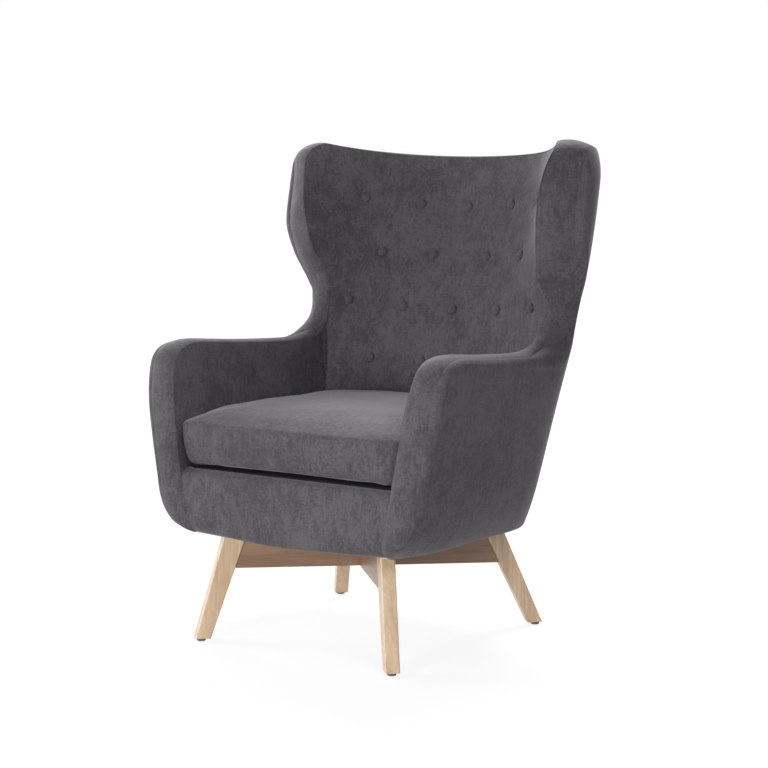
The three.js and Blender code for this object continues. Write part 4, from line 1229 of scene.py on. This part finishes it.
def apply_modifiers(piece: bpy.types.Object) -> None:
    """Write a piece's modifiers into its mesh and take them off."""
    graph = bpy.context.evaluated_depsgraph_get()
    graph.update()
    made = bpy.data.meshes.new_from_object(piece.evaluated_get(graph))
    piece.modifiers.clear()
    old = piece.data
    made.name = old.name
    piece.data = made
    bpy.data.meshes.remove(old)


def nearest_gap(points: Array, line: Array) -> Array:
    """Distance of each point from a closed ring of points."""
    return distance_to(points[:, None, :], np.concatenate([line, line[:1]]))[:, 0]


@dataclass
class Stuffing:
    """How a stuffed piece is blown up by a short cloth simulation, with its seams held."""

    voxel: float = 0.0055
    pressure: float = 4.0
    frames: int = 20
    most: float = 0.012
    held_width: float = 0.0035

    def fill(self, piece: bpy.types.Object, seams: Sequence[Array]) -> None:
        """Remesh a piece, blow it up, cap how far it moves and smooth it.

        Args:
            piece: The piece, a little smaller than it should end.
            seams: The rings that stay where they are.
        """
        remesh = piece.modifiers.new("Even", "REMESH")
        remesh.mode = "VOXEL"
        remesh.voxel_size = self.voxel
        remesh.use_smooth_shade = True
        apply_modifiers(piece)
        start = read_points(piece)
        near = np.full(len(start), np.inf)
        for ring in seams:
            near = np.minimum(near, nearest_gap(start, ring))
        held = piece.vertex_groups.new(name="held")
        weight = np.clip(1.6 - near / self.held_width, 0, 1)
        for index in np.flatnonzero(weight > 0.02):
            held.add([int(index)], float(weight[index]), "REPLACE")
        cloth = piece.modifiers.new("Stuffing", "CLOTH")
        cloth.settings.quality = 5
        cloth.settings.mass = 0.3
        cloth.settings.tension_stiffness = 12
        cloth.settings.compression_stiffness = 12
        cloth.settings.bending_stiffness = 0.6
        cloth.settings.use_pressure = True
        cloth.settings.uniform_pressure_force = self.pressure
        cloth.settings.vertex_group_mass = held.name
        cloth.settings.effector_weights.gravity = 0
        cloth.collision_settings.use_self_collision = False
        cloth.point_cache.frame_start = 1
        cloth.point_cache.frame_end = self.frames
        for step in range(1, self.frames + 1):
            bpy.context.scene.frame_set(step)
        graph = bpy.context.evaluated_depsgraph_get()
        blown = piece.evaluated_get(graph).to_mesh()
        flat = np.empty(3 * len(blown.vertices))
        blown.vertices.foreach_get("co", flat)
        piece.modifiers.clear()
        bpy.context.scene.frame_set(1)
        move = flat.reshape(-1, 3) - start
        size = np.linalg.norm(move, axis=1, keepdims=True)
        write_points(piece, start + move * np.minimum(1, self.most / np.maximum(size, 1e-9)))
        smooth = piece.modifiers.new("Fine", "SUBSURF")
        smooth.levels = smooth.render_levels = 1
        apply_modifiers(piece)
        piece.data.polygons.foreach_set("use_smooth", np.ones(len(piece.data.polygons), bool))


@dataclass
class SeatCushion:
    """The loose seat cushion: boxed, with a seam round its top and its bottom."""

    kit: MeshKit
    slab: Slab = field(
        default_factory=lambda: Slab(
            bottom=0.3729, seam=0.4590, crown=0.4920, front=-0.3965, gap=0.0022, edge=0.011, rise=0.020
        )
    )
    seam_depth: float = 0.0014
    seam_reach: float = 0.0036

    def build(self) -> bpy.types.Object:
        """The cushion, stuffed, with its seams drawn in."""
        piece, seams = SlabMesh(self.kit, self.slab).build("seat_cushion_cloth")
        lowest = self.slab.bottom
        Stuffing(most=0.006).fill(piece, seams)
        points = read_points(piece)
        normal = read_normals(piece)
        near = np.full(len(points), np.inf)
        for ring in seams:
            near = np.minimum(near, nearest_gap(points, ring))
        sink = self.seam_depth * np.exp(-((near / self.seam_reach) ** 1.5))
        slow = Ripples(5, shortest=0.06, longest=0.24).at(points) * 0.0014
        top = smooth_step(points[:, 2], self.slab.seam + 0.004, self.slab.seam + 0.02)
        moved = points + (slow * top - sink)[:, None] * normal
        moved[:, 2] = np.maximum(moved[:, 2], lowest)
        moved[:, 1] = np.maximum(moved[:, 1], self.kit.form.shift + self.slab.front - 0.006)
        write_points(piece, moved)
        return piece


@dataclass
class SeatDeck:
    """The thin pad on the springs, with a stitched border."""

    kit: MeshKit
    stitch_inset: float = 0.035
    stitch_depth: float = 0.003

    def build(self) -> bpy.types.Object:
        """The deck pad."""
        slab = Slab(
            bottom=0.3451, seam=0.3660, crown=0.3719, front=-0.3842, gap=0.0008, edge=0.006, dome_power=14.0
        )
        mesh = SlabMesh(self.kit, slab)
        piece, _ = mesh.build("seat_deck_pad_cloth")
        line = self.kit.form.settled(mesh.ring(slab.seam, self.stitch_inset, 0))
        points = read_points(piece)
        near = nearest_gap(points, line + np.array([0, 0, slab.crown - slab.seam]))
        sink = self.stitch_depth * np.exp(-((near / 0.005) ** 2))
        points[:, 2] -= sink * (points[:, 2] > slab.seam)
        write_points(piece, points)
        return piece


@dataclass
class DustCover:
    """The spun sheet stretched under the seat."""

    kit: MeshKit
    hem: float = 0.012
    top: float = 0.2287
    thickness: float = 0.0010
    sag: float = 0.0016
    front: float = -0.385
    rear: float = 0.1715

    def build(self) -> bpy.types.Object:
        """The sheet, which sags a little between the rails of the base."""
        form = self.kit.form
        depth = np.linspace(self.front, self.rear, 70)
        height = np.full(70, form.underside + 0.0001)
        half = form.outer_half(depth, height) - form.draw_in(depth, height) - self.hem + form.hem_round
        corner = np.clip((depth - 0.011 - form.arm_front) / 0.037, 0.0001, 1) ** (2 / 3)
        half = np.maximum(np.minimum(half, corner * 0.26), 0.02)
        share = np.linspace(-1, 1, 81)
        x = half[:, None] * share[None]
        y = depth[:, None] * np.ones(81)[None]
        centre = (self.front + self.rear) / 2 - 0.014
        rail = np.minimum(np.abs(np.abs(x) * 0.82 - np.abs(y - centre)), 0.1)
        drop = self.sag * (1 - np.exp(-((rail / 0.05) ** 2)))
        edge = np.minimum(1 - np.abs(share)[None], np.minimum(depth - self.front, self.rear - depth)[:, None] * 4)
        drop = drop * smooth_step(edge, 0, 0.3)
        grid = np.stack([x, y, self.top - self.thickness - 0.0001 - drop], axis=2)
        normal = np.broadcast_to(np.array([0.0, 0.0, -1.0]), grid.shape)
        return self.kit.shell("dust_cover_cloth", grid, normal, self.thickness)


class ButtonInput(Enum):
    """Inputs of the geometry nodes that set the buttons on the back."""

    BUTTON = "Button"
    SIZE = "Size"
    FINISH = "Finish"


@dataclass
class Buttons:
    """The covered buttons, one made form set on every place by geometry nodes."""

    kit: MeshKit
    tufts: Tufts
    depth: float = 0.0030
    segments: int = 40
    profile: tuple[tuple[float, float], ...] = (
        (0.0, 0.0041), (0.0022, 0.00405), (0.0045, 0.0038), (0.0065, 0.0033), (0.0083, 0.0025),
        (0.0098, 0.0014), (0.0109, 0.0001), (0.0114, -0.0012), (0.0113, -0.0024), (0.0104, -0.0034),
        (0.0, -0.0036),
    )

    def form(self) -> bpy.types.Object:
        """One domed button with a soft rim, seen along +Z."""
        points, faces = [(0.0, 0.0, self.profile[0][1])], []
        for radius, height in self.profile[1:-1]:
            for step in range(self.segments):
                turn = 2 * math.pi * step / self.segments
                points.append((radius * math.cos(turn), radius * math.sin(turn), height))
        points.append((0.0, 0.0, self.profile[-1][1]))
        size = self.segments
        for step in range(size):
            after = (step + 1) % size
            faces.append((0, 1 + step, 1 + after))
            last = 1 + (len(self.profile) - 3) * size
            faces.append((last + step, len(points) - 1, last + after))
            for row in range(len(self.profile) - 3):
                start = 1 + row * size
                faces.append((start + step, start + size + step, start + size + after, start + after))
        mesh = bpy.data.meshes.new("button_form")
        mesh.from_pydata(points, [], faces)
        mesh.polygons.foreach_set("use_smooth", np.ones(len(mesh.polygons), bool))
        return bpy.data.objects.new("button_form", mesh)

    def nodes(self) -> bpy.types.NodeTree:
        """The node group that sets a form on every point, turned to the point's facing."""
        tree = bpy.data.node_groups.new("Covered Buttons", "GeometryNodeTree")
        face = tree.interface
        face.new_socket("Geometry", in_out="INPUT", socket_type="NodeSocketGeometry")
        face.new_socket(ButtonInput.BUTTON.value, in_out="INPUT", socket_type="NodeSocketObject")
        face.new_socket(ButtonInput.SIZE.value, in_out="INPUT", socket_type="NodeSocketFloat")
        face.new_socket(ButtonInput.FINISH.value, in_out="INPUT", socket_type="NodeSocketMaterial")
        face.new_socket("Geometry", in_out="OUTPUT", socket_type="NodeSocketGeometry")
        graph = Graph(tree)
        source = graph.node("NodeGroupInput")
        shape = graph.node("GeometryNodeObjectInfo", inputs={"Object": source.outputs[ButtonInput.BUTTON.value]})
        facing = graph.node(
            "GeometryNodeInputNamedAttribute", {"data_type": "FLOAT_VECTOR"}, {"Name": "facing"}
        )
        turn = graph.node(
            "FunctionNodeAlignRotationToVector", {"axis": "Z"}, {"Vector": facing.outputs["Attribute"]}
        )
        placed = graph.node(
            "GeometryNodeInstanceOnPoints",
            inputs={
                "Points": source.outputs["Geometry"],
                "Instance": shape.outputs["Geometry"],
                "Rotation": turn.outputs["Rotation"],
                "Scale": source.outputs[ButtonInput.SIZE.value],
            },
        )
        real = graph.node("GeometryNodeRealizeInstances", inputs={"Geometry": placed.outputs["Instances"]})
        finished = graph.node(
            "GeometryNodeSetMaterial",
            inputs={
                "Geometry": real.outputs["Geometry"],
                "Material": source.outputs[ButtonInput.FINISH.value],
            },
        )
        graph.node("NodeGroupOutput", inputs={"Geometry": finished.outputs["Geometry"]})
        return tree

    def build(self, finish: bpy.types.Material) -> bpy.types.Object:
        """All the buttons as one piece."""
        centres, facings = self.tufts.places()
        places = self.kit.form.settled(centres) - self.depth * facings
        mesh = bpy.data.meshes.new("back_buttons")
        mesh.from_pydata(places.tolist(), [], [])
        mesh.attributes.new("facing", "FLOAT_VECTOR", "POINT").data.foreach_set("vector", facings.ravel())
        piece = bpy.data.objects.new("back_buttons", mesh)
        bpy.context.scene.collection.objects.link(piece)
        form = self.form()
        bpy.context.scene.collection.objects.link(form)
        modifier = piece.modifiers.new("Buttons", "NODES")
        modifier.node_group = self.nodes()
        values = {ButtonInput.BUTTON: form, ButtonInput.SIZE: 1.0, ButtonInput.FINISH: finish}
        for item in modifier.node_group.interface.items_tree:
            for key, value in values.items():
                if item.in_out == "INPUT" and item.name == key.value:
                    modifier[item.identifier] = value
        piece.update_tag()
        apply_modifiers(piece)
        bpy.data.objects.remove(form)
        return piece


# Shading

Operand = Union["Value", float, int]


class Value:
    """A number made by shader nodes, with arithmetic."""

    def __init__(self, graph: "Graph", socket: bpy.types.NodeSocket) -> None:
        """Keep the socket that gives the number."""
        self.graph, self.socket = graph, socket

    def _math(self, operation: str, first: Operand, second: Operand) -> "Value":
        """A Math node on two numbers."""
        node = self.graph.node("ShaderNodeMath", {"operation": operation}, {0: first, 1: second})
        return Value(self.graph, node.outputs[0])

    def __add__(self, other: Operand) -> "Value":
        """Sum."""
        return self._math("ADD", self, other)

    def __radd__(self, other: Operand) -> "Value":
        """Sum with the number on the right."""
        return self._math("ADD", other, self)

    def __sub__(self, other: Operand) -> "Value":
        """Difference."""
        return self._math("SUBTRACT", self, other)

    def __rsub__(self, other: Operand) -> "Value":
        """Difference with the number on the right."""
        return self._math("SUBTRACT", other, self)

    def __mul__(self, other: Operand) -> "Value":
        """Product."""
        return self._math("MULTIPLY", self, other)

    def __rmul__(self, other: Operand) -> "Value":
        """Product with the number on the right."""
        return self._math("MULTIPLY", other, self)

    def __truediv__(self, other: Operand) -> "Value":
        """Quotient."""
        return self._math("DIVIDE", self, other)

    def __rtruediv__(self, other: Operand) -> "Value":
        """Quotient with the number on the right."""
        return self._math("DIVIDE", other, self)

    def __pow__(self, other: Operand) -> "Value":
        """Power."""
        return self._math("POWER", self, other)

    def ramp(self, low: float, high: float) -> "Value":
        """A smooth rise from 0 to 1 between two numbers."""
        node = self.graph.node(
            "ShaderNodeMapRange",
            {"interpolation_type": "SMOOTHSTEP"},
            {"Value": self, "From Min": low, "From Max": high},
        )
        return Value(self.graph, node.outputs["Result"])


class Graph:
    """A node tree with short ways to add nodes to it."""

    def __init__(self, tree: bpy.types.NodeTree) -> None:
        """Keep the tree."""
        self.tree = tree

    def node(self, kind: str, settings: dict | None = None, inputs: dict | None = None) -> bpy.types.Node:
        """Add a node.

        Args:
            kind: Its type.
            settings: Its properties.
            inputs: Its inputs by name or number: a Value, a socket, or something to set.

        Returns:
            The node.
        """
        made = self.tree.nodes.new(kind)
        for name, value in (settings or {}).items():
            setattr(made, name, value)
        for key, value in (inputs or {}).items():
            if isinstance(value, Value):
                self.tree.links.new(value.socket, made.inputs[key])
            elif isinstance(value, bpy.types.NodeSocket):
                self.tree.links.new(value, made.inputs[key])
            else:
                made.inputs[key].default_value = value
        return made

    def place(self) -> bpy.types.NodeSocket:
        """The point's place on its object."""
        return self.node("ShaderNodeTexCoord").outputs["Object"]

    def seen(self, path: bpy.types.Node) -> Value:
        """One for what the camera sees, also in metal and through glass, or else nought."""
        rays = (Value(self, path.outputs[f"Is {kind} Ray"]) for kind in ("Camera", "Glossy", "Transmission"))
        return sum(rays, 0.0).ramp(0, 1)

    def scaled(self, place: bpy.types.NodeSocket, turn: float, scale: Sequence[float]) -> bpy.types.NodeSocket:
        """A place turned about Z and stretched."""
        turned = self.node(
            "ShaderNodeVectorRotate", {"rotation_type": "Z_AXIS"}, {"Vector": place, "Angle": turn}
        )
        made = self.node(
            "ShaderNodeVectorMath", {"operation": "MULTIPLY"}, {0: turned.outputs[0], 1: tuple(scale)}
        )
        return made.outputs[0]

    def noise(self, place: bpy.types.NodeSocket, scale: float, detail: float = 3, rough: float = 0.5) -> Value:
        """Noise from 0 to 1 at a place."""
        node = self.node(
            "ShaderNodeTexNoise",
            inputs={"Vector": place, "Scale": scale, "Detail": detail, "Roughness": rough},
        )
        return Value(self, node.outputs["Fac"])

    def blend(self, share: Value, low: Sequence[float], high: Sequence[float]) -> bpy.types.NodeSocket:
        """A colour between two colours."""
        node = self.node(
            "ShaderNodeMix", {"data_type": "RGBA"}, {"Factor": share, 6: (*low, 1.0), 7: (*high, 1.0)}
        )
        return node.outputs[2]

    def bump(self, height: Value, strength: float, distance: float) -> bpy.types.NodeSocket:
        """A normal bent by a height."""
        node = self.node(
            "ShaderNodeBump", inputs={"Height": height, "Strength": strength, "Distance": distance}
        )
        return node.outputs["Normal"]


def new_material(name: str) -> tuple[bpy.types.Material, Graph, bpy.types.Node]:
    """A material with its graph and its principled node."""
    material = bpy.data.materials.new(name)
    material.use_nodes = True
    graph = Graph(material.node_tree)
    return material, graph, material.node_tree.nodes["Principled BSDF"]


def wire(graph: Graph, node: bpy.types.Node, inputs: dict) -> None:
    """Set or link a node's inputs."""
    for name, value in inputs.items():
        if isinstance(value, Value):
            graph.tree.links.new(value.socket, node.inputs[name])
        elif isinstance(value, bpy.types.NodeSocket):
            graph.tree.links.new(value, node.inputs[name])
        else:
            node.inputs[name].default_value = value


@dataclass(frozen=True)
class Nap:
    """A cloth with a soft nap that lies unevenly: dark where it is brushed one way."""

    name: str
    dark: tuple[float, float, float]
    pale: tuple[float, float, float]
    blotch_scale: float = 24.0
    fleck_scale: float = 190.0
    sheen: float = 0.26
    sheen_roughness: float = 0.42
    roughness: float = 0.82
    relief: float = 0.0016

    def build(self) -> bpy.types.Material:
        """The material."""
        material, graph, shader = new_material(self.name)
        place = graph.place()
        large = graph.noise(place, 6.0, 3, 0.55)
        blotch = graph.noise(place, self.blotch_scale, 4, 0.6)
        fleck = graph.noise(place, self.fleck_scale, 3, 0.62)
        streak = graph.noise(graph.scaled(place, 0.0, (1.0, 1.0, 0.30)), 95.0, 3, 0.6)
        upright = graph.noise(graph.scaled(place, 0.0, (1.0, 1.0, 0.22)), 330.0, 2, 0.6)
        level = graph.noise(graph.scaled(place, 0.0, (0.30, 0.30, 1.0)), 330.0, 2, 0.6)
        soft = large * 0.15 + blotch * 0.15 + streak * 0.18
        mottle = soft + fleck * 0.24 + upright * 0.16 + level * 0.12
        height = fleck * 0.5 + upright * 0.28 + level * 0.22
        wire(
            graph,
            shader,
            {
                "Base Color": graph.blend(mottle.ramp(0.42, 0.58), self.dark, self.pale),
                "Roughness": self.roughness,
                "Specular IOR Level": 0.25,
                "Sheen Weight": self.sheen,
                "Sheen Roughness": self.sheen_roughness,
                "Sheen Tint": (0.80, 0.76, 0.80, 1.0),
                "Normal": graph.bump(height, 0.9, self.relief),
            },
        )
        return material


@dataclass(frozen=True)
class Timber:
    """Sawn wood whose grain runs along one direction."""

    name: str
    pale: tuple[float, float, float]
    dark: tuple[float, float, float]
    turn: float = 0.0
    upright: bool = True
    roughness: float = 0.42
    coat: float = 0.25

    def build(self) -> bpy.types.Material:
        """The material."""
        material, graph, shader = new_material(self.name)
        stretch = (1.0, 1.0, 0.07) if self.upright else (0.07, 1.0, 1.0)
        place = graph.scaled(graph.place(), self.turn, stretch)
        rings = graph.noise(place, 38.0, 3, 0.55)
        streak = graph.noise(place, 190.0, 3, 0.6)
        pores = graph.noise(place, 520.0, 2, 0.6)
        tone = (rings * 0.5 + streak * 0.35 + pores * 0.15).ramp(0.36, 0.66)
        pit = pores.ramp(0.60, 0.72)
        colour = graph.blend(tone * 0.85 + pit * 0.15, self.pale, self.dark)
        wire(
            graph,
            shader,
            {
                "Base Color": colour,
                "Roughness": streak * 0.12 + (self.roughness - 0.06),
                "Coat Weight": self.coat,
                "Coat Roughness": 0.3,
                "Normal": graph.bump(streak * 0.6 + pores * 0.4, 0.12, 0.0006),
            },
        )
        return material


@dataclass(frozen=True)
class Plain:
    """A plain finish with a little unevenness: metal, plastic or spun cloth."""

    name: str
    colour: tuple[float, float, float]
    roughness: float
    metallic: float = 0.0
    uneven: float = 0.10
    scale: float = 160.0
    relief: float = 0.08

    def build(self) -> bpy.types.Material:
        """The material."""
        material, graph, shader = new_material(self.name)
        noise = graph.noise(graph.place(), self.scale, 3, 0.6)
        low = tuple(c * (1 - self.uneven) for c in self.colour)
        high = tuple(min(1.0, c * (1 + self.uneven)) for c in self.colour)
        wire(
            graph,
            shader,
            {
                "Base Color": graph.blend(noise, low, high),
                "Roughness": noise * 0.1 + (self.roughness - 0.05),
                "Metallic": self.metallic,
                "Normal": graph.bump(noise, self.relief, 0.0005),
            },
        )
        return material


# The picture


@dataclass(frozen=True)
class Shot:
    """The camera, in the measured frame."""

    place: tuple[float, float, float] = (2.21735, -3.26757, 0.95850)
    forward: tuple[float, float, float] = (-0.563865, 0.818413, -0.110713)
    lens: float = 86.87
    sensor: float = 36.0

    def build(self, shift: float) -> bpy.types.Object:
        """The camera, made the scene's."""
        camera = bpy.data.cameras.new("Camera")
        camera.lens, camera.sensor_width = self.lens, self.sensor
        camera.sensor_fit = "HORIZONTAL"
        camera.clip_end = 60
        made = bpy.data.objects.new("Camera", camera)
        forward = Vector(self.forward).normalized()
        right = forward.cross(Vector((0, 0, 1))).normalized()
        up = right.cross(forward)
        turn = Matrix((right, up, -forward)).transposed()
        made.matrix_world = Matrix.Translation(Vector(self.place) + Vector((0, shift, 0))) @ turn.to_4x4()
        scene = bpy.context.scene
        scene.collection.objects.link(made)
        scene.camera = made
        return made


@dataclass(frozen=True)
class Lamp:
    """A soft studio light aimed at the chair."""

    name: str
    place: tuple[float, float, float]
    size: float
    power: float
    aim: tuple[float, float, float] = (0.0, 0.0, 0.5)

    def build(self) -> None:
        """Add the light to the scene."""
        data = bpy.data.lights.new(self.name, "AREA")
        data.shape, data.size, data.energy = "DISK", self.size, self.power
        made = bpy.data.objects.new(self.name, data)
        place = Vector(self.place)
        made.matrix_world = (
            Matrix.Translation(place)
            @ (Vector(self.aim) - place).to_track_quat("-Z", "Y").to_matrix().to_4x4()
        )
        bpy.context.scene.collection.objects.link(made)


@dataclass
class Studio:
    """A white studio: a pale floor that keeps a faint shadow, a white surround and soft lights."""

    floor_half: float = 30.0
    surround_light: float = 0.08
    lamps: tuple[Lamp, ...] = (
        Lamp("Left", (-3.6, -1.2, 1.8), 2.4, 111.0),
        Lamp("Left rear", (-3.4, 1.6, 1.6), 1.8, 40.0),
        Lamp("Front", (0.2, -4.2, 0.7), 1.6, 124.0),
        Lamp("Right", (3.2, -2.2, 2.6), 1.8, 43.0),
        Lamp("Top", (-0.2, 1.6, 3.0), 1.4, 99.0),
    )

    def build(self) -> None:
        """Add the floor, the surround and the lights."""
        half = self.floor_half
        mesh = bpy.data.meshes.new("floor")
        mesh.from_pydata(
            [(-half, -half, 0), (half, -half, 0), (half, half, 0), (-half, half, 0)], [], [(0, 1, 2, 3)]
        )
        floor = bpy.data.objects.new("floor", mesh)
        bpy.context.scene.collection.objects.link(floor)
        floor.data.materials.append(self.floor_finish())
        self.surround()
        for lamp in self.lamps:
            lamp.build()
        bpy.context.scene.view_settings.view_transform = "Standard"

    def floor_finish(self) -> bpy.types.Material:
        """Pale floor whose light to the camera is mostly even."""
        material, graph, shader = new_material("studio_floor")
        wire(graph, shader, {"Base Color": (0.86, 0.86, 0.86, 1.0), "Roughness": 0.9})
        glow = graph.node("ShaderNodeEmission", inputs={"Color": (1, 1, 1, 1), "Strength": 1.08})
        path = graph.node("ShaderNodeLightPath")
        far = graph.node("ShaderNodeVectorMath", {"operation": "LENGTH"}, {0: graph.place()})
        away = Value(graph, far.outputs["Value"]).ramp(0.9, 2.4)
        even = graph.seen(path) * (away * 0.2 + 0.8)
        mixed = graph.node(
            "ShaderNodeMixShader", inputs={0: even, 1: shader.outputs[0], 2: glow.outputs[0]}
        )
        output = material.node_tree.nodes["Material Output"]
        material.node_tree.links.new(mixed.outputs[0], output.inputs["Surface"])
        return material

    def surround(self) -> None:
        """White to the camera, softer as a light."""
        world = bpy.data.worlds.new("Studio")
        bpy.context.scene.world = world
        world.use_nodes = True
        graph = Graph(world.node_tree)
        world.node_tree.nodes.clear()
        light = graph.node(
            "ShaderNodeBackground", inputs={"Color": (1, 1, 1, 1), "Strength": self.surround_light}
        )
        white = graph.node("ShaderNodeBackground", inputs={"Color": (1, 1, 1, 1), "Strength": 1.0})
        path = graph.node("ShaderNodeLightPath")
        mixed = graph.node(
            "ShaderNodeMixShader",
            inputs={0: graph.seen(path), 1: light.outputs[0], 2: white.outputs[0]},
        )
        graph.node("ShaderNodeOutputWorld", inputs={"Surface": mixed.outputs[0]})


# The chair


class Slot(Enum):
    """Material slots of the record."""

    VELVET = "velvet"
    BUTTON = "button_velvet"
    OAK = "oak"
    BIRCH = "birch"
    STEEL = "steel"
    GLIDE = "glide_plastic"
    DECK = "deck_cloth"
    LINING = "lining"


@dataclass
class Finishes:
    """The chair's materials."""

    rail_turn: float = 0.79

    def build(self) -> dict[str, bpy.types.Material]:
        """The materials by name."""
        pale, dark = (0.61, 0.455, 0.305), (0.405, 0.268, 0.160)
        # The rails' oak is darker and redder than the legs'. Partly this is the rails' own browner tone, and partly it
        # is painted shade for the shadow under the seat.
        shaded_rail_pale, shaded_rail_dark = (0.275, 0.160, 0.098), (0.168, 0.089, 0.051)
        finishes = [
            Nap("velvet", (0.0405, 0.0375, 0.0405), (0.0800, 0.0740, 0.0800)),
            Nap("button_velvet", (0.0420, 0.0390, 0.0420), (0.0780, 0.0720, 0.0780), blotch_scale=60.0),
            # The deck cloth's near-black colour is painted shade. It stands for the shadow in the gap between the
            # cushion and the front panel, where the deck shows.
            Nap("deck_cloth", (0.006, 0.006, 0.007), (0.013, 0.013, 0.014), sheen=0.0),
            Timber("oak", pale, dark),
            Timber("oak_rail_a", shaded_rail_pale, shaded_rail_dark, turn=-self.rail_turn, upright=False),
            Timber("oak_rail_b", shaded_rail_pale, shaded_rail_dark, turn=self.rail_turn, upright=False),
            Timber("birch", (0.62, 0.46, 0.28), (0.50, 0.35, 0.19), roughness=0.6, coat=0.0),
            Plain("steel", (0.55, 0.56, 0.58), 0.38, metallic=1.0),
            Plain("glide_plastic", (0.10, 0.095, 0.09), 0.5),
            Plain("lining", (0.022, 0.022, 0.023), 0.95, uneven=0.3, scale=420.0, relief=0.3),
        ]
        return {finish.name: finish.build() for finish in finishes}


class Chair:
    """Puts the pieces on the frame and gives every piece its finish."""

    BODY = "chair"
    LOOSE = "cushion"

    def __init__(self) -> None:
        """Find where the measured frame stands and set up the builders."""
        low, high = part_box("glide_front_right")
        self.shift = (low[1] + high[1]) / 2 + 0.37158
        form = BodyForm(shift=self.shift)
        self.kit = MeshKit(form)
        self.seams = Seams(form)
        self.padding = Padding()
        self.tufts = Tufts(form)
        self.finishes = Finishes().build()

    def settle(self, piece: bpy.types.Object, nodes: Sequence[str], slot: Slot, body: str) -> None:
        """Put a piece on a body in place of nodes, with the finish of a slot."""
        piece.data.materials.clear()
        piece.data.materials.append(self.finishes[slot.value])
        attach(piece, body)
        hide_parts(*nodes)
        log.info("%s: %d faces in place of %d nodes", piece.name, len(piece.data.polygons), len(nodes))

    def upholster(self) -> None:
        """Make the covers, bands, pads and buttons."""
        pads = InnerPads(self.kit, self.seams, self.padding, self.tufts)
        pieces = {
            **Bands(self.kit, self.seams, self.padding).build(),
            **OuterCovers(self.kit, self.seams, self.padding).build(),
            **pads.arms(),
            "inner_back_pad": pads.back(),
            "front_panel": pads.panel(),
        }
        for name, piece in pieces.items():
            self.settle(piece, [name], Slot.VELVET, self.BODY)
        buttons = Buttons(self.kit, self.tufts).build(self.finishes[Slot.BUTTON.value])
        nodes = [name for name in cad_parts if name.startswith("back_button_")]
        self.settle(buttons, nodes, Slot.BUTTON, self.BODY)

    def seat(self) -> None:
        """Make the cushion, the deck under it and the sheet under the seat."""
        cushion = SeatCushion(self.kit).build()
        self.settle(cushion, ["seat_cushion"], Slot.VELVET, self.LOOSE)
        deck = SeatDeck(self.kit).build()
        self.settle(deck, ["seat_deck_pad"], Slot.DECK, self.BODY)
        cover = DustCover(self.kit).build()
        self.settle(cover, ["dust_cover"], Slot.LINING, self.BODY)

    def finish_frame(self) -> None:
        """Give the nodes that stay their finishes."""
        rules = (
            ("leg_", "oak"), ("cross_rail_a", "oak_rail_a"), ("cross_rail_b", "oak_rail_b"),
            ("glide_", "glide_plastic"), ("base_bolt_", "steel"), ("seat_spring_", "steel"),
        )
        for name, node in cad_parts.items():
            finish = next((value for start, value in rules if name.startswith(start)), "birch")
            for slot in node.material_slots:
                slot.material = self.finishes[finish]


def main() -> None:
    """Build the chair, its studio and its camera."""
    logging.basicConfig(level=logging.INFO, format="%(message)s")
    chair = Chair()
    chair.finish_frame()
    chair.upholster()
    chair.seat()
    Studio().build()
    Shot().build(chair.shift)
    log.info("chair built")


if __name__ == "__main__":
    main()
